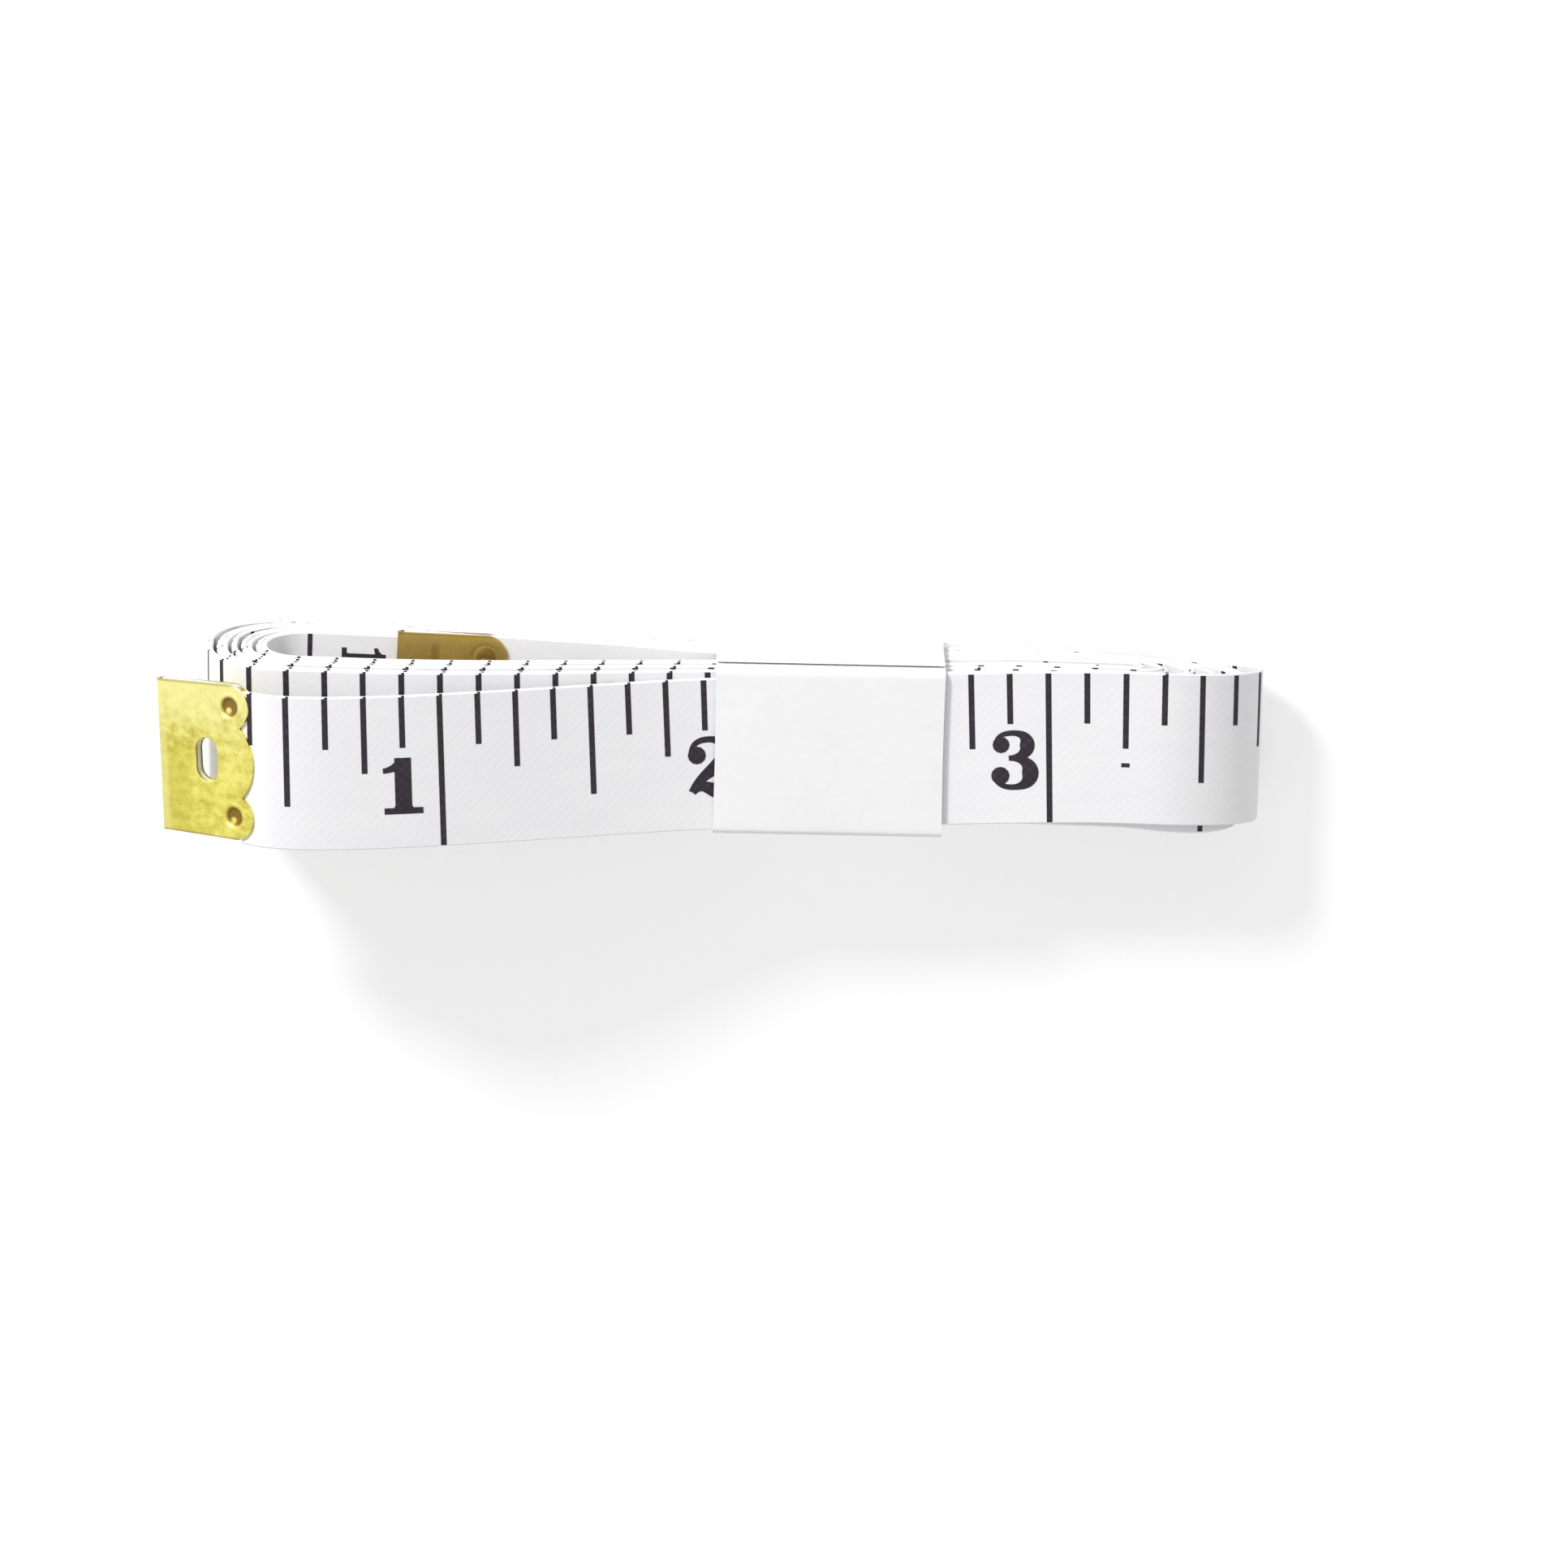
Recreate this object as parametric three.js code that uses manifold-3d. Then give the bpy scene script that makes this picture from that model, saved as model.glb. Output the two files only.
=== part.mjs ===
// A cloth tape measure, wound into a flattened coil and held by a paper band.
// The coil lies on its back: X along the coil, Y across the tape, Z up from the table.
import * as THREE from 'three';
import { mergeVertices } from 'three/addons/utils/BufferGeometryUtils.js';
import Module from 'manifold-3d';

const wasm = await Module();
wasm.setup();

// Driving dimensions, in millimetres and degrees.
// Places along the coil are measured from the band's left edge.

// The tape. It is drawn thinner than the real cloth, so that the turns stay apart.
const TAPE_WIDTH = 13;
const TAPE_THICKNESS = 0.14;
const TURN_GAP = 0.42;
const LOOSE_GAP = 0.57;
const WHOLE_TURNS = 8;

// The coil's outline: an open loop at the left and a tight bend at the right. The loops
// and the bends of the turns spread further apart than the turns do.
const LOOP_RADIUS = 3;
const LOOP_REACH = 34.4;
const LOOP_SPREAD = 0.1;
const BEND_RADIUS = 0.5;
const BEND_REACH = 34.17;
const BEND_SPREAD = 0.69;
const OPENING_START = 8;
const OPENING_END = 30;
const INNER_END_REACH = 26.4;

// The free outer end, which springs off the coil.
const BEND_LINE_REACH = 0.8;
const FREE_END_REACH = 45.9;
const FREE_END_HEIGHT = 14.5;
const FREE_END_DROOP = 28;
const FREE_END_DRIFT = 1.1;
const LIFT_HANDLE = 12;
const CREST_HANDLE = 6;

// The end clips: sheet brass folded over the tape's end, with a lobed edge.
const CLIP_WIDTH = 13;
const CLIP_LENGTH = 9.64;
const CLIP_SHEET = 0.25;
const CLIP_CLEARANCE = 0.3;
const SIDE_LOBE_RADIUS = 1.9;
const SIDE_LOBE_REACH = 7.5;
const MIDDLE_LOBE_RADIUS = 4.1;
const SLOT_WIDTH = 2;
const SLOT_LENGTH = 3.5;
const SLOT_REACH = 4.8;
const DIMPLE_RADIUS = 0.9;
const DIMPLE_FLOOR_RADIUS = 0.45;

// The paper band.
const BAND_LENGTH = 19.1;
const PAPER = 0.25;
const BAND_CLEARANCE = 0.3;
const BAND_CORNER = 0.8;
const LAP_HEIGHT = 9.2;
const BAND_DRIFT = 0.25;

// Gap along the tape where the free end bends, and the rise of the back run into the band.
const BEND_GAP = 0.3;
const RISE_LENGTH = 10;
const INNER_RAMP_LENGTH = 12;

// Steps round each stretch of a turn.
const LOOP_STEPS = 12;
const BEND_STEPS = 10;
const OPENING_STEPS = 14;
const RISE_STEPS = 4;
const FREE_END_STEPS = 20;
const ARC_STEPS = 6;

const PITCH = TAPE_THICKNESS + TURN_GAP;
const CLIP_THICKNESS = 2 * CLIP_SHEET + TAPE_THICKNESS + 2 * CLIP_CLEARANCE;
const BAND_RISE = PAPER + BAND_CLEARANCE;
const BACK_LEFT = WHOLE_TURNS * PITCH + TAPE_THICKNESS / 2;
const BACK_RIGHT = BACK_LEFT + BAND_RISE;
const INNER_LIFT = CLIP_THICKNESS / 2 + TURN_GAP + TAPE_THICKNESS / 2 - PITCH;

// Smooth step from 0 to 1.
function ease(u) {
  const t = Math.min(Math.max(u, 0), 1);
  return t * t * (3 - 2 * t);
}

function range(count) {
  return Array.from({ length: count }, (_, i) => i);
}

// A station on the innermost contour: its place, its outward normal, how much of
// a turn's pitch is already gained there, and how loose the turns lie, 0 to 1.
function station(x, z, nx, nz, gained, loose) {
  return { x, z, nx, nz, gained, loose };
}

// Height of the contour's back run, which rises from the table into the band.
function backHeight(x) {
  return BACK_LEFT + BAND_RISE * ease((x + RISE_LENGTH + BEND_LINE_REACH) / RISE_LENGTH);
}

// How far the loop is open at x: 0 at the band's far end, 1 at the loop.
function openness(x) {
  return ease((OPENING_START - x) / (OPENING_START + OPENING_END));
}

// Height of the contour's front run.
function frontHeight(x) {
  const closed = BACK_RIGHT + 2 * BEND_RADIUS;
  const open = BACK_LEFT + 2 * LOOP_RADIUS;
  return closed + (open - closed) * openness(x);
}

function runStation(x, height, side, gained, loose) {
  const step = 0.01;
  const slope = (height(x + step) - height(x - step)) / (2 * step);
  const size = Math.hypot(slope, 1);
  return station(x, height(x), (-side * slope) / size, side / size, gained, loose);
}

// One turn of the innermost contour, from the inner end on the back run, to the
// right, round the tight bend, back along the front and round the open loop.
function contour() {
  const rampEnd = -INNER_END_REACH + CLIP_LENGTH + INNER_RAMP_LENGTH;
  const backX = [-INNER_END_REACH, -INNER_END_REACH + CLIP_LENGTH];
  for (const i of range(RISE_STEPS + 1)) {
    backX.push(-RISE_LENGTH - BEND_LINE_REACH + (RISE_LENGTH * i) / RISE_STEPS);
  }
  backX.push(rampEnd);
  const back = [...new Set(backX)].sort((a, b) => a - b)
    .map((x) => runStation(x, backHeight, -1, 0, 0));

  const bend = range(BEND_STEPS + 1).map((i) => {
    const share = i / BEND_STEPS;
    const angle = -Math.PI / 2 + Math.PI * share;
    const nx = Math.cos(angle);
    const nz = Math.sin(angle);
    const x = BEND_REACH + BEND_RADIUS * nx;
    const z = BACK_RIGHT + BEND_RADIUS + BEND_RADIUS * nz;
    return station(x, z, nx, nz, share / 2, 0);
  });

  const frontX = range(OPENING_STEPS + 1)
    .map((i) => OPENING_START - ((OPENING_START + OPENING_END) * i) / OPENING_STEPS);
  frontX.push(-BEND_LINE_REACH);
  const front = [...new Set(frontX)].sort((a, b) => b - a)
    .map((x) => runStation(x, frontHeight, 1, 0.5, openness(x)));

  const loop = range(LOOP_STEPS + 1).map((i) => {
    const share = i / LOOP_STEPS;
    const angle = Math.PI / 2 + Math.PI * share;
    const nx = Math.cos(angle);
    const nz = Math.sin(angle);
    const x = -LOOP_REACH + LOOP_RADIUS * nx;
    const z = BACK_LEFT + LOOP_RADIUS + LOOP_RADIUS * nz;
    return station(x, z, nx, nz, 0.5 + share / 2, ease(1 - 2 * share));
  });
  return [...back, ...bend, ...front, ...loop];
}

// The wound stretch: the contour repeated, each turn one pitch further out.
function windingPath() {
  const turn = contour();
  const path = [];
  for (const k of range(WHOLE_TURNS + 1)) {
    for (const s of turn) {
      const last = k === WHOLE_TURNS;
      if (last && s.gained === 0.5 && s.x < -BEND_LINE_REACH) break;
      const ramp = (s.x + INNER_END_REACH - CLIP_LENGTH) / INNER_RAMP_LENGTH;
      const lift = k === 0 && s.gained === 0 ? INNER_LIFT * (1 - ease(ramp)) : 0;
      const pitch = PITCH + (LOOSE_GAP - TURN_GAP) * s.loose;
      const out = pitch * (k + s.gained) - lift;
      const nearBend = Math.max(s.x - OPENING_START, 0) / (BEND_REACH - OPENING_START);
      const nearLoop = Math.max(-s.x - OPENING_START, 0) / (LOOP_REACH - OPENING_START);
      const spread = (BEND_SPREAD * nearBend - LOOP_SPREAD * nearLoop) * (k + s.gained);
      const drift = last ? -BAND_DRIFT * ease((2 * s.gained) ** 2) : 0;
      path.push({ x: s.x + s.nx * out + spread, y: drift, z: s.z + s.nz * out });
    }
  }
  return path;
}

// The free stretch: a curve that leaves the coil, crests and dips to the clip, then
// runs straight into the clip.
function freePath(from, before) {
  const away = new THREE.Vector2(from.x - before.x, from.z - before.z).normalize();
  const droop = THREE.MathUtils.degToRad(FREE_END_DROOP);
  const down = new THREE.Vector2(-Math.cos(droop), -Math.sin(droop));
  const tip = new THREE.Vector2(-FREE_END_REACH, FREE_END_HEIGHT);
  const start = new THREE.Vector2(from.x, from.z).addScaledVector(away, BEND_GAP);
  const mouth = tip.clone().addScaledVector(down, -CLIP_LENGTH - CLIP_CLEARANCE);
  const curve = new THREE.CubicBezierCurve(
    start,
    start.clone().addScaledVector(away, LIFT_HANDLE),
    mouth.clone().addScaledVector(down, -CREST_HANDLE),
    mouth,
  );
  const end = tip.clone().addScaledVector(down, -CLIP_SHEET - CLIP_CLEARANCE);
  const points = [...curve.getSpacedPoints(FREE_END_STEPS), end];
  return points.map((p, i) => {
    const share = Math.min(i / FREE_END_STEPS, 1);
    const drift = BAND_DRIFT + (FREE_END_DRIFT - BAND_DRIFT) * ease(share);
    return { x: p.x, y: -drift, z: p.y };
  });
}

// A ribbon along a path: a thin rectangle swept with its flat sides facing in and out.
function ribbonGeometry(path) {
  const positions = [];
  const index = [];
  path.forEach((p, i) => {
    const a = path[Math.max(i - 1, 0)];
    const b = path[Math.min(i + 1, path.length - 1)];
    const size = Math.hypot(b.x - a.x, b.z - a.z);
    const nx = (((b.z - a.z) / size) * TAPE_THICKNESS) / 2;
    const nz = ((-(b.x - a.x) / size) * TAPE_THICKNESS) / 2;
    const low = p.y - TAPE_WIDTH / 2;
    const high = p.y + TAPE_WIDTH / 2;
    positions.push(p.x - nx, low, p.z - nz, p.x - nx, high, p.z - nz);
    positions.push(p.x + nx, high, p.z + nz, p.x + nx, low, p.z + nz);
  });
  for (const i of range(path.length - 1)) {
    for (const side of range(4)) {
      const p = 4 * i + side;
      const q = 4 * i + ((side + 1) % 4);
      index.push(p, p + 4, q + 4, p, q + 4, q);
    }
  }
  const end = 4 * (path.length - 1);
  index.push(0, 1, 2, 0, 2, 3, end, end + 2, end + 1, end, end + 3, end + 2);
  const geometry = new THREE.BufferGeometry();
  geometry.setAttribute('position', new THREE.Float32BufferAttribute(positions, 3));
  geometry.setIndex(index);
  return geometry;
}

function toSolid(geometry) {
  const bare = geometry.clone();
  bare.deleteAttribute('normal');
  bare.deleteAttribute('uv');
  const merged = mergeVertices(bare, 1e-5);
  const vertProperties = new Float32Array(merged.attributes.position.array);
  const triVerts = new Uint32Array(merged.index.array);
  return new wasm.Manifold(new wasm.Mesh({ numProp: 3, vertProperties, triVerts }));
}

function toGeometry(solid) {
  const mesh = solid.getMesh();
  const geometry = new THREE.BufferGeometry();
  geometry.setAttribute('position', new THREE.BufferAttribute(mesh.vertProperties, 3));
  geometry.setIndex(new THREE.BufferAttribute(mesh.triVerts, 1));
  return geometry;
}

// Angle, seen from the first centre, of the point where two circles meet.
function meetingAngle(from, fromRadius, to, toRadius, side) {
  const gap = from.distanceTo(to);
  const along = (gap * gap + fromRadius * fromRadius - toRadius * toRadius) / (2 * gap);
  const turn = Math.acos(along / fromRadius);
  return to.clone().sub(from).angle() + side * turn;
}

// The clip's flat outline: straight at the fold, with three lobes along the tape.
function clipOutline() {
  const half = CLIP_WIDTH / 2;
  const upper = new THREE.Vector2(SIDE_LOBE_REACH, half - SIDE_LOBE_RADIUS);
  const lower = new THREE.Vector2(SIDE_LOBE_REACH, SIDE_LOBE_RADIUS - half);
  const middle = new THREE.Vector2(CLIP_LENGTH - MIDDLE_LOBE_RADIUS, 0);
  const sideNotch = meetingAngle(upper, SIDE_LOBE_RADIUS, middle, MIDDLE_LOBE_RADIUS, 1);
  const middleNotch = meetingAngle(middle, MIDDLE_LOBE_RADIUS, upper, SIDE_LOBE_RADIUS, -1);
  const shape = new THREE.Shape();
  shape.moveTo(0, -half);
  shape.lineTo(lower.x, -half);
  shape.absarc(lower.x, lower.y, SIDE_LOBE_RADIUS, -Math.PI / 2, -sideNotch, false);
  shape.absarc(middle.x, 0, MIDDLE_LOBE_RADIUS, -middleNotch, middleNotch, false);
  shape.absarc(upper.x, upper.y, SIDE_LOBE_RADIUS, sideNotch, Math.PI / 2, false);
  shape.lineTo(0, half);
  shape.closePath();
  return shape;
}

function slotOutline() {
  const radius = SLOT_WIDTH / 2;
  const reach = SLOT_LENGTH / 2 - radius;
  const shape = new THREE.Shape();
  shape.absarc(SLOT_REACH, reach, radius, 0, Math.PI, false);
  shape.absarc(SLOT_REACH, -reach, radius, Math.PI, 2 * Math.PI, false);
  shape.closePath();
  return shape;
}

// The folded sheet seen from the side: two leaves joined by a round fold.
function foldOutline() {
  const outer = CLIP_THICKNESS / 2;
  const inner = outer - CLIP_SHEET;
  const shape = new THREE.Shape();
  shape.moveTo(CLIP_LENGTH, outer);
  shape.absarc(outer, 0, outer, Math.PI / 2, 1.5 * Math.PI, false);
  shape.lineTo(CLIP_LENGTH, -outer);
  shape.lineTo(CLIP_LENGTH, -inner);
  shape.absarc(outer, 0, inner, 1.5 * Math.PI, Math.PI / 2, true);
  shape.lineTo(CLIP_LENGTH, inner);
  shape.closePath();
  return shape;
}

function extruded(shape, depth) {
  const options = { depth, bevelEnabled: false, curveSegments: ARC_STEPS };
  return new THREE.ExtrudeGeometry(shape, options);
}

// A cone or cylinder standing along the clip's thickness at one of its dimples.
function dimpleCone(topRadius, floorRadius, top, floor, side) {
  const height = top - floor;
  const cone = new THREE.CylinderGeometry(topRadius, floorRadius, height, 2 * ARC_STEPS);
  cone.rotateX(Math.PI / 2);
  const y = side * (CLIP_WIDTH / 2 - SIDE_LOBE_RADIUS);
  return toSolid(cone.translate(SIDE_LOBE_REACH, y, (top + floor) / 2));
}

// The clip lies along X from its fold, with the tape's middle plane at Z 0.
function clipSolid() {
  const half = CLIP_THICKNESS / 2;
  const folded = extruded(foldOutline(), CLIP_WIDTH);
  folded.rotateX(Math.PI / 2).translate(0, CLIP_WIDTH / 2, 0);
  const blank = extruded(clipOutline(), CLIP_THICKNESS).translate(0, 0, -half);
  const slot = extruded(slotOutline(), 2 * CLIP_THICKNESS).translate(0, 0, -CLIP_THICKNESS);
  let solid = toSolid(folded).intersect(toSolid(blank)).subtract(toSolid(slot));
  const floor = CLIP_SHEET - half;
  for (const side of [-1, 1]) {
    const wallTop = DIMPLE_RADIUS + CLIP_SHEET / 2;
    const wallFloor = DIMPLE_FLOOR_RADIUS + CLIP_SHEET / 2;
    const wall = dimpleCone(wallTop, wallFloor, half - CLIP_SHEET / 2, floor - CLIP_SHEET / 2, side);
    const pit = dimpleCone(DIMPLE_RADIUS, DIMPLE_FLOOR_RADIUS, half + CLIP_SHEET / 4, floor, side);
    solid = solid.add(wall).subtract(pit);
  }
  return solid;
}

// What the clip's slot and dimples cut out of the tape's end.
function tapeCutters(placement) {
  const height = TAPE_THICKNESS + CLIP_CLEARANCE;
  const slot = extruded(slotOutline(), height).translate(0, 0, -height / 2);
  let cut = toSolid(slot.applyMatrix4(placement));
  for (const side of [-1, 1]) {
    const radius = DIMPLE_RADIUS + CLIP_SHEET / 2 + CLIP_CLEARANCE;
    const hole = new THREE.CylinderGeometry(radius, radius, height, 2 * ARC_STEPS);
    hole.rotateX(Math.PI / 2);
    hole.translate(SIDE_LOBE_REACH, side * (CLIP_WIDTH / 2 - SIDE_LOBE_RADIUS), 0);
    cut = cut.add(toSolid(hole.applyMatrix4(placement)));
  }
  return cut;
}

// The band: a sleeve with round corners, doubled where the strip laps on its back side.
function bandGeometry(top) {
  const inner = TAPE_WIDTH / 2 + BAND_DRIFT + BAND_CLEARANCE;
  const outer = inner + PAPER;
  const roof = top + BAND_CLEARANCE + PAPER;
  const r = BAND_CORNER;
  const shape = new THREE.Shape();
  shape.moveTo(-outer + r, 0);
  shape.lineTo(outer + PAPER - r, 0);
  shape.absarc(outer + PAPER - r, r, r, -Math.PI / 2, 0, false);
  shape.lineTo(outer + PAPER, LAP_HEIGHT);
  shape.lineTo(outer, LAP_HEIGHT);
  shape.absarc(outer - r, roof - r, r, 0, Math.PI / 2, false);
  shape.absarc(-outer + r, roof - r, r, Math.PI / 2, Math.PI, false);
  shape.absarc(-outer + r, r, r, Math.PI, 1.5 * Math.PI, false);
  shape.closePath();
  const hollow = new THREE.Path();
  const c = r - PAPER;
  hollow.moveTo(-inner, roof - PAPER - c);
  hollow.absarc(-inner + c, roof - PAPER - c, c, Math.PI, Math.PI / 2, true);
  hollow.absarc(inner - c, roof - PAPER - c, c, Math.PI / 2, 0, true);
  hollow.absarc(inner - c, PAPER + c, c, 0, -Math.PI / 2, true);
  hollow.absarc(-inner + c, PAPER + c, c, -Math.PI / 2, -Math.PI, true);
  hollow.closePath();
  shape.holes.push(hollow);
  const sleeve = extruded(shape, BAND_LENGTH);
  return sleeve.rotateX(Math.PI / 2).rotateZ(Math.PI / 2);
}

// Distance from a point to a stretch of a path, in the coil's plane.
function distanceToStretch(p, a, b) {
  const along = (p.x - a.x) * (b.x - a.x) + (p.z - a.z) * (b.z - a.z);
  const size = (b.x - a.x) ** 2 + (b.z - a.z) ** 2;
  const t = Math.min(Math.max(along / size, 0), 1);
  return Math.hypot(p.x - a.x - t * (b.x - a.x), p.z - a.z - t * (b.z - a.z));
}

// The least gap between stretches of the tape that are further apart along it than
// a tight bend, measured on the points of its middle line.
function leastGap(path) {
  const apart = BEND_STEPS;
  let least = Infinity;
  path.forEach((p, i) => {
    for (const j of range(path.length - 1)) {
      if (Math.abs(j - i) <= apart) continue;
      least = Math.min(least, distanceToStretch(p, path[j], path[j + 1]));
    }
  });
  return least - TAPE_THICKNESS;
}

function pathLength(path) {
  const steps = range(path.length - 1);
  return steps.reduce((sum, i) => {
    const a = path[i];
    const b = path[i + 1];
    return sum + Math.hypot(b.x - a.x, b.y - a.y, b.z - a.z);
  }, 0);
}

const cloth = { color: 0xf2f1ee, roughness: 0.55, metalness: 0 };
const brass = { color: 0xd8c85a, roughness: 0.35, metalness: 1 };
const paper = { color: 0xf4f4f2, roughness: 0.9, metalness: 0 };

const part = new THREE.Group();

function addPiece(name, geometry, look) {
  const mesh = new THREE.Mesh(geometry, new THREE.MeshStandardMaterial(look));
  mesh.name = name;
  part.add(mesh);
  return mesh;
}

const wound = windingPath();
const free = freePath(wound[wound.length - 1], wound[wound.length - 2]);

// The inner clip lies flat on the back run, and the outer clip dips with the free end.
const tapeStart = wound[0];
const innerPlace = new THREE.Matrix4().makeTranslation(
  tapeStart.x - CLIP_SHEET - CLIP_CLEARANCE, tapeStart.y, tapeStart.z);
const outerPlace = new THREE.Matrix4()
  .makeRotationY(-THREE.MathUtils.degToRad(FREE_END_DROOP))
  .setPosition(-FREE_END_REACH, free[free.length - 1].y, FREE_END_HEIGHT);

const woundTape = toSolid(ribbonGeometry(wound)).subtract(tapeCutters(innerPlace));
addPiece('tape_coil', toGeometry(woundTape), cloth);
const freeTape = toSolid(ribbonGeometry(free)).subtract(tapeCutters(outerPlace));
addPiece('tape_free_end', toGeometry(freeTape), cloth);
addPiece('inner_clip', toGeometry(clipSolid()).applyMatrix4(innerPlace), brass);
addPiece('outer_clip', toGeometry(clipSolid()).applyMatrix4(outerPlace), brass);

// The band is as tall as the coil where it goes in.
const tallest = Math.max(...wound.filter((p) => p.x >= 0).map((p) => p.z));
addPiece('paper_band', bandGeometry(tallest + TAPE_THICKNESS / 2), paper);

// The origin is on the table, under the middle of the whole object.
const box = new THREE.Box3().setFromObject(part);
const centre = box.getCenter(new THREE.Vector3());
part.position.set(-centre.x, -centre.y, -box.min.z);

const hinge = wound[wound.length - 1];
const tape = [...wound, ...free];
console.log(`tape length ${pathLength(tape).toFixed(1)} mm`);
console.log(`least gap of the tape to itself ${leastGap(tape).toFixed(3)} mm`);
console.log(`bend line at x ${(hinge.x - centre.x).toFixed(2)}, z ${(hinge.z - box.min.z).toFixed(2)} mm`);
console.log(`size ${box.getSize(new THREE.Vector3()).toArray().map((v) => v.toFixed(2)).join(' x ')} mm`);

export default part;
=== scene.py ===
"""A cloth tape measure, wound into a flattened coil and held by a paper band.

The coil lies on its back: X along the coil, Y across the tape, Z up from the table.
Shapes are worked out in millimetres, from the band's left edge, and put into the
meshes in metres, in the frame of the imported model.
"""
import math

import bpy
import numpy as np
from mathutils import Matrix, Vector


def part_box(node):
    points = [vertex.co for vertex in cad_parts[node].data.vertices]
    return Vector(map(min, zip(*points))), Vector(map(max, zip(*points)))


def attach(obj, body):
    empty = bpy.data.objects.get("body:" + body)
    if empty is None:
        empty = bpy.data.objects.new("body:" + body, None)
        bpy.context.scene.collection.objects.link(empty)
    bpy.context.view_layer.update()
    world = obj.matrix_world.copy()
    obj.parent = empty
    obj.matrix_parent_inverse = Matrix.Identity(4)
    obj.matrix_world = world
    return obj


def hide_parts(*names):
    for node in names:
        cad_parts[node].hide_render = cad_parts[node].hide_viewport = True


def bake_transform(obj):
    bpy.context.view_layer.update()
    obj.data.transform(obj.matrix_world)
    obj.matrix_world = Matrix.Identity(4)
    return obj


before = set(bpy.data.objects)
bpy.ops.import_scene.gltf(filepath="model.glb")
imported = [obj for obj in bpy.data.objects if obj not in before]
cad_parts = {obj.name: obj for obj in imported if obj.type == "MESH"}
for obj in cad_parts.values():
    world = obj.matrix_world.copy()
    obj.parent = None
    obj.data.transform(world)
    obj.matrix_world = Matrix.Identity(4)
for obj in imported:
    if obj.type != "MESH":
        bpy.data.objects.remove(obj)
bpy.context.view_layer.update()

MM = 0.001
INCH = 25.4
EIGHTH = INCH / 8

# The tape's winding, in millimetres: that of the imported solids, settled as the cloth lies.
TAPE_WIDTH = 13.0
TAPE_SOLID = 0.14
TURN_GAP = 0.42
LOOSE_GAP = 0.57
PITCH = TAPE_SOLID + TURN_GAP
WHOLE_TURNS = 8
INNER_END_REACH = 26.9
INNER_LIFT = 0.55
INNER_RAMP_LENGTH = 12.0
BAND_RISE = 0.55
RISE_LENGTH = 10.0
BACK_LEFT = WHOLE_TURNS * PITCH + TAPE_SOLID / 2
BACK_RIGHT = BACK_LEFT + BAND_RISE

# The open loops at the left.
LOOP_RADIUS = 3.0
LOOP_REACH = 34.6
LOOP_SPREAD = 0.1
LOOP_CORNER = 0.3
LOOP_SHARE = 0.2
OPENING_START = 8.0
OPENING_END = 30.0

# The tight bends at the right, and the runs that are pressed together before them.
BEND_RADIUS = 0.5
BEND_REACH = 34.5
BEND_SPREAD = 0.2
BEND_STRETCH = 1.0
BEND_SAG = 0.3
TIGHT_PITCH = 0.527
TIGHT_START = 2.0
TIGHT_LENGTH = 17.0
TIGHT_DROP = WHOLE_TURNS * (PITCH - TIGHT_PITCH)

# The free end, from the line where it bends to the outer clip.
BEND_LINE_REACH = 0.8
FREE_END_REACH = 45.8
FREE_END_HEIGHT = 14.5
FREE_END_DROOP = math.radians(28)
FREE_END_DRIFT = 1.1
LIFT_HANDLE = 12.0
CREST_HANDLE = 6.0

# How the turns lie across the coil, and where along it each lean sets in.
LOOP_DRIFT = 0.3
LOOP_LEAN = 0.2
LOOP_LEAN_LENGTH = 34.0
TIGHT_LEAN = 0.5
TIGHT_LEAN_START = 12.0
TIGHT_LEAN_LENGTH = 14.0
NOSE_LEAN = 0.8
NOSE_LEAN_START = 33.0
NOSE_LEAN_LENGTH = 11.0
INNER_DRIFT = 0.8
INNER_DRIFT_LENGTH = 45.0

# Where the outer turn and the free end lie across, by their length past the bend line.
COURSE_START = 64.0
COURSE_EASE = 12.0
COURSE_BLUR = 5.0
COURSE_PLACES = (-56, -48, -42, -36, -27, -20, -4, 0, 8, 16, 28, 49)
COURSE_DRIFTS = (
    -0.4, 0.1, 0.9, 1.1, 0.87, 0.42, -0.3, -0.35, -0.65, -0.85, -1.07, -FREE_END_DRIFT)
HALF_SLANT_BEFORE = 40.0
HALF_SLANT_LENGTH = 8.0
FULL_SLANT_LENGTH = 5.0

# Slow waves along the tape, across it and along its normal: height, length and start of each.
WAVE_FADE = 60.0
WANDER_DELAY = 0.3
WANDER_WAVES = ((0.08, 97.0, 0.6), (0.05, 41.0, 2.0))
UNEVEN_WAVES = ((0.012, 7.3, 0.0), (0.01, 16.1, 1.0))
EVEN_LENGTH = 200.0
PRESSED_EVEN = 0.8

# The line where the marks of the turns are brought over each other, and how far they step off.
MARK_LINE = -20.0
MARK_STEP = -0.04
FREE_STEP = 0.2

# The cloth, fuller than the solid that stands for it, and pressed thinner at the tight bends.
CLOTH = 0.46
EDGE_ROUND = 0.1
EDGE_INSET = 0.6
BEND_PRESS = 0.25
PRESS_START = 26.0
PRESS_LENGTH = 8.0
CLOTH_FIT = 1 - (CLOTH - TAPE_SOLID) / 2 / (WHOLE_TURNS * PITCH)

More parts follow.
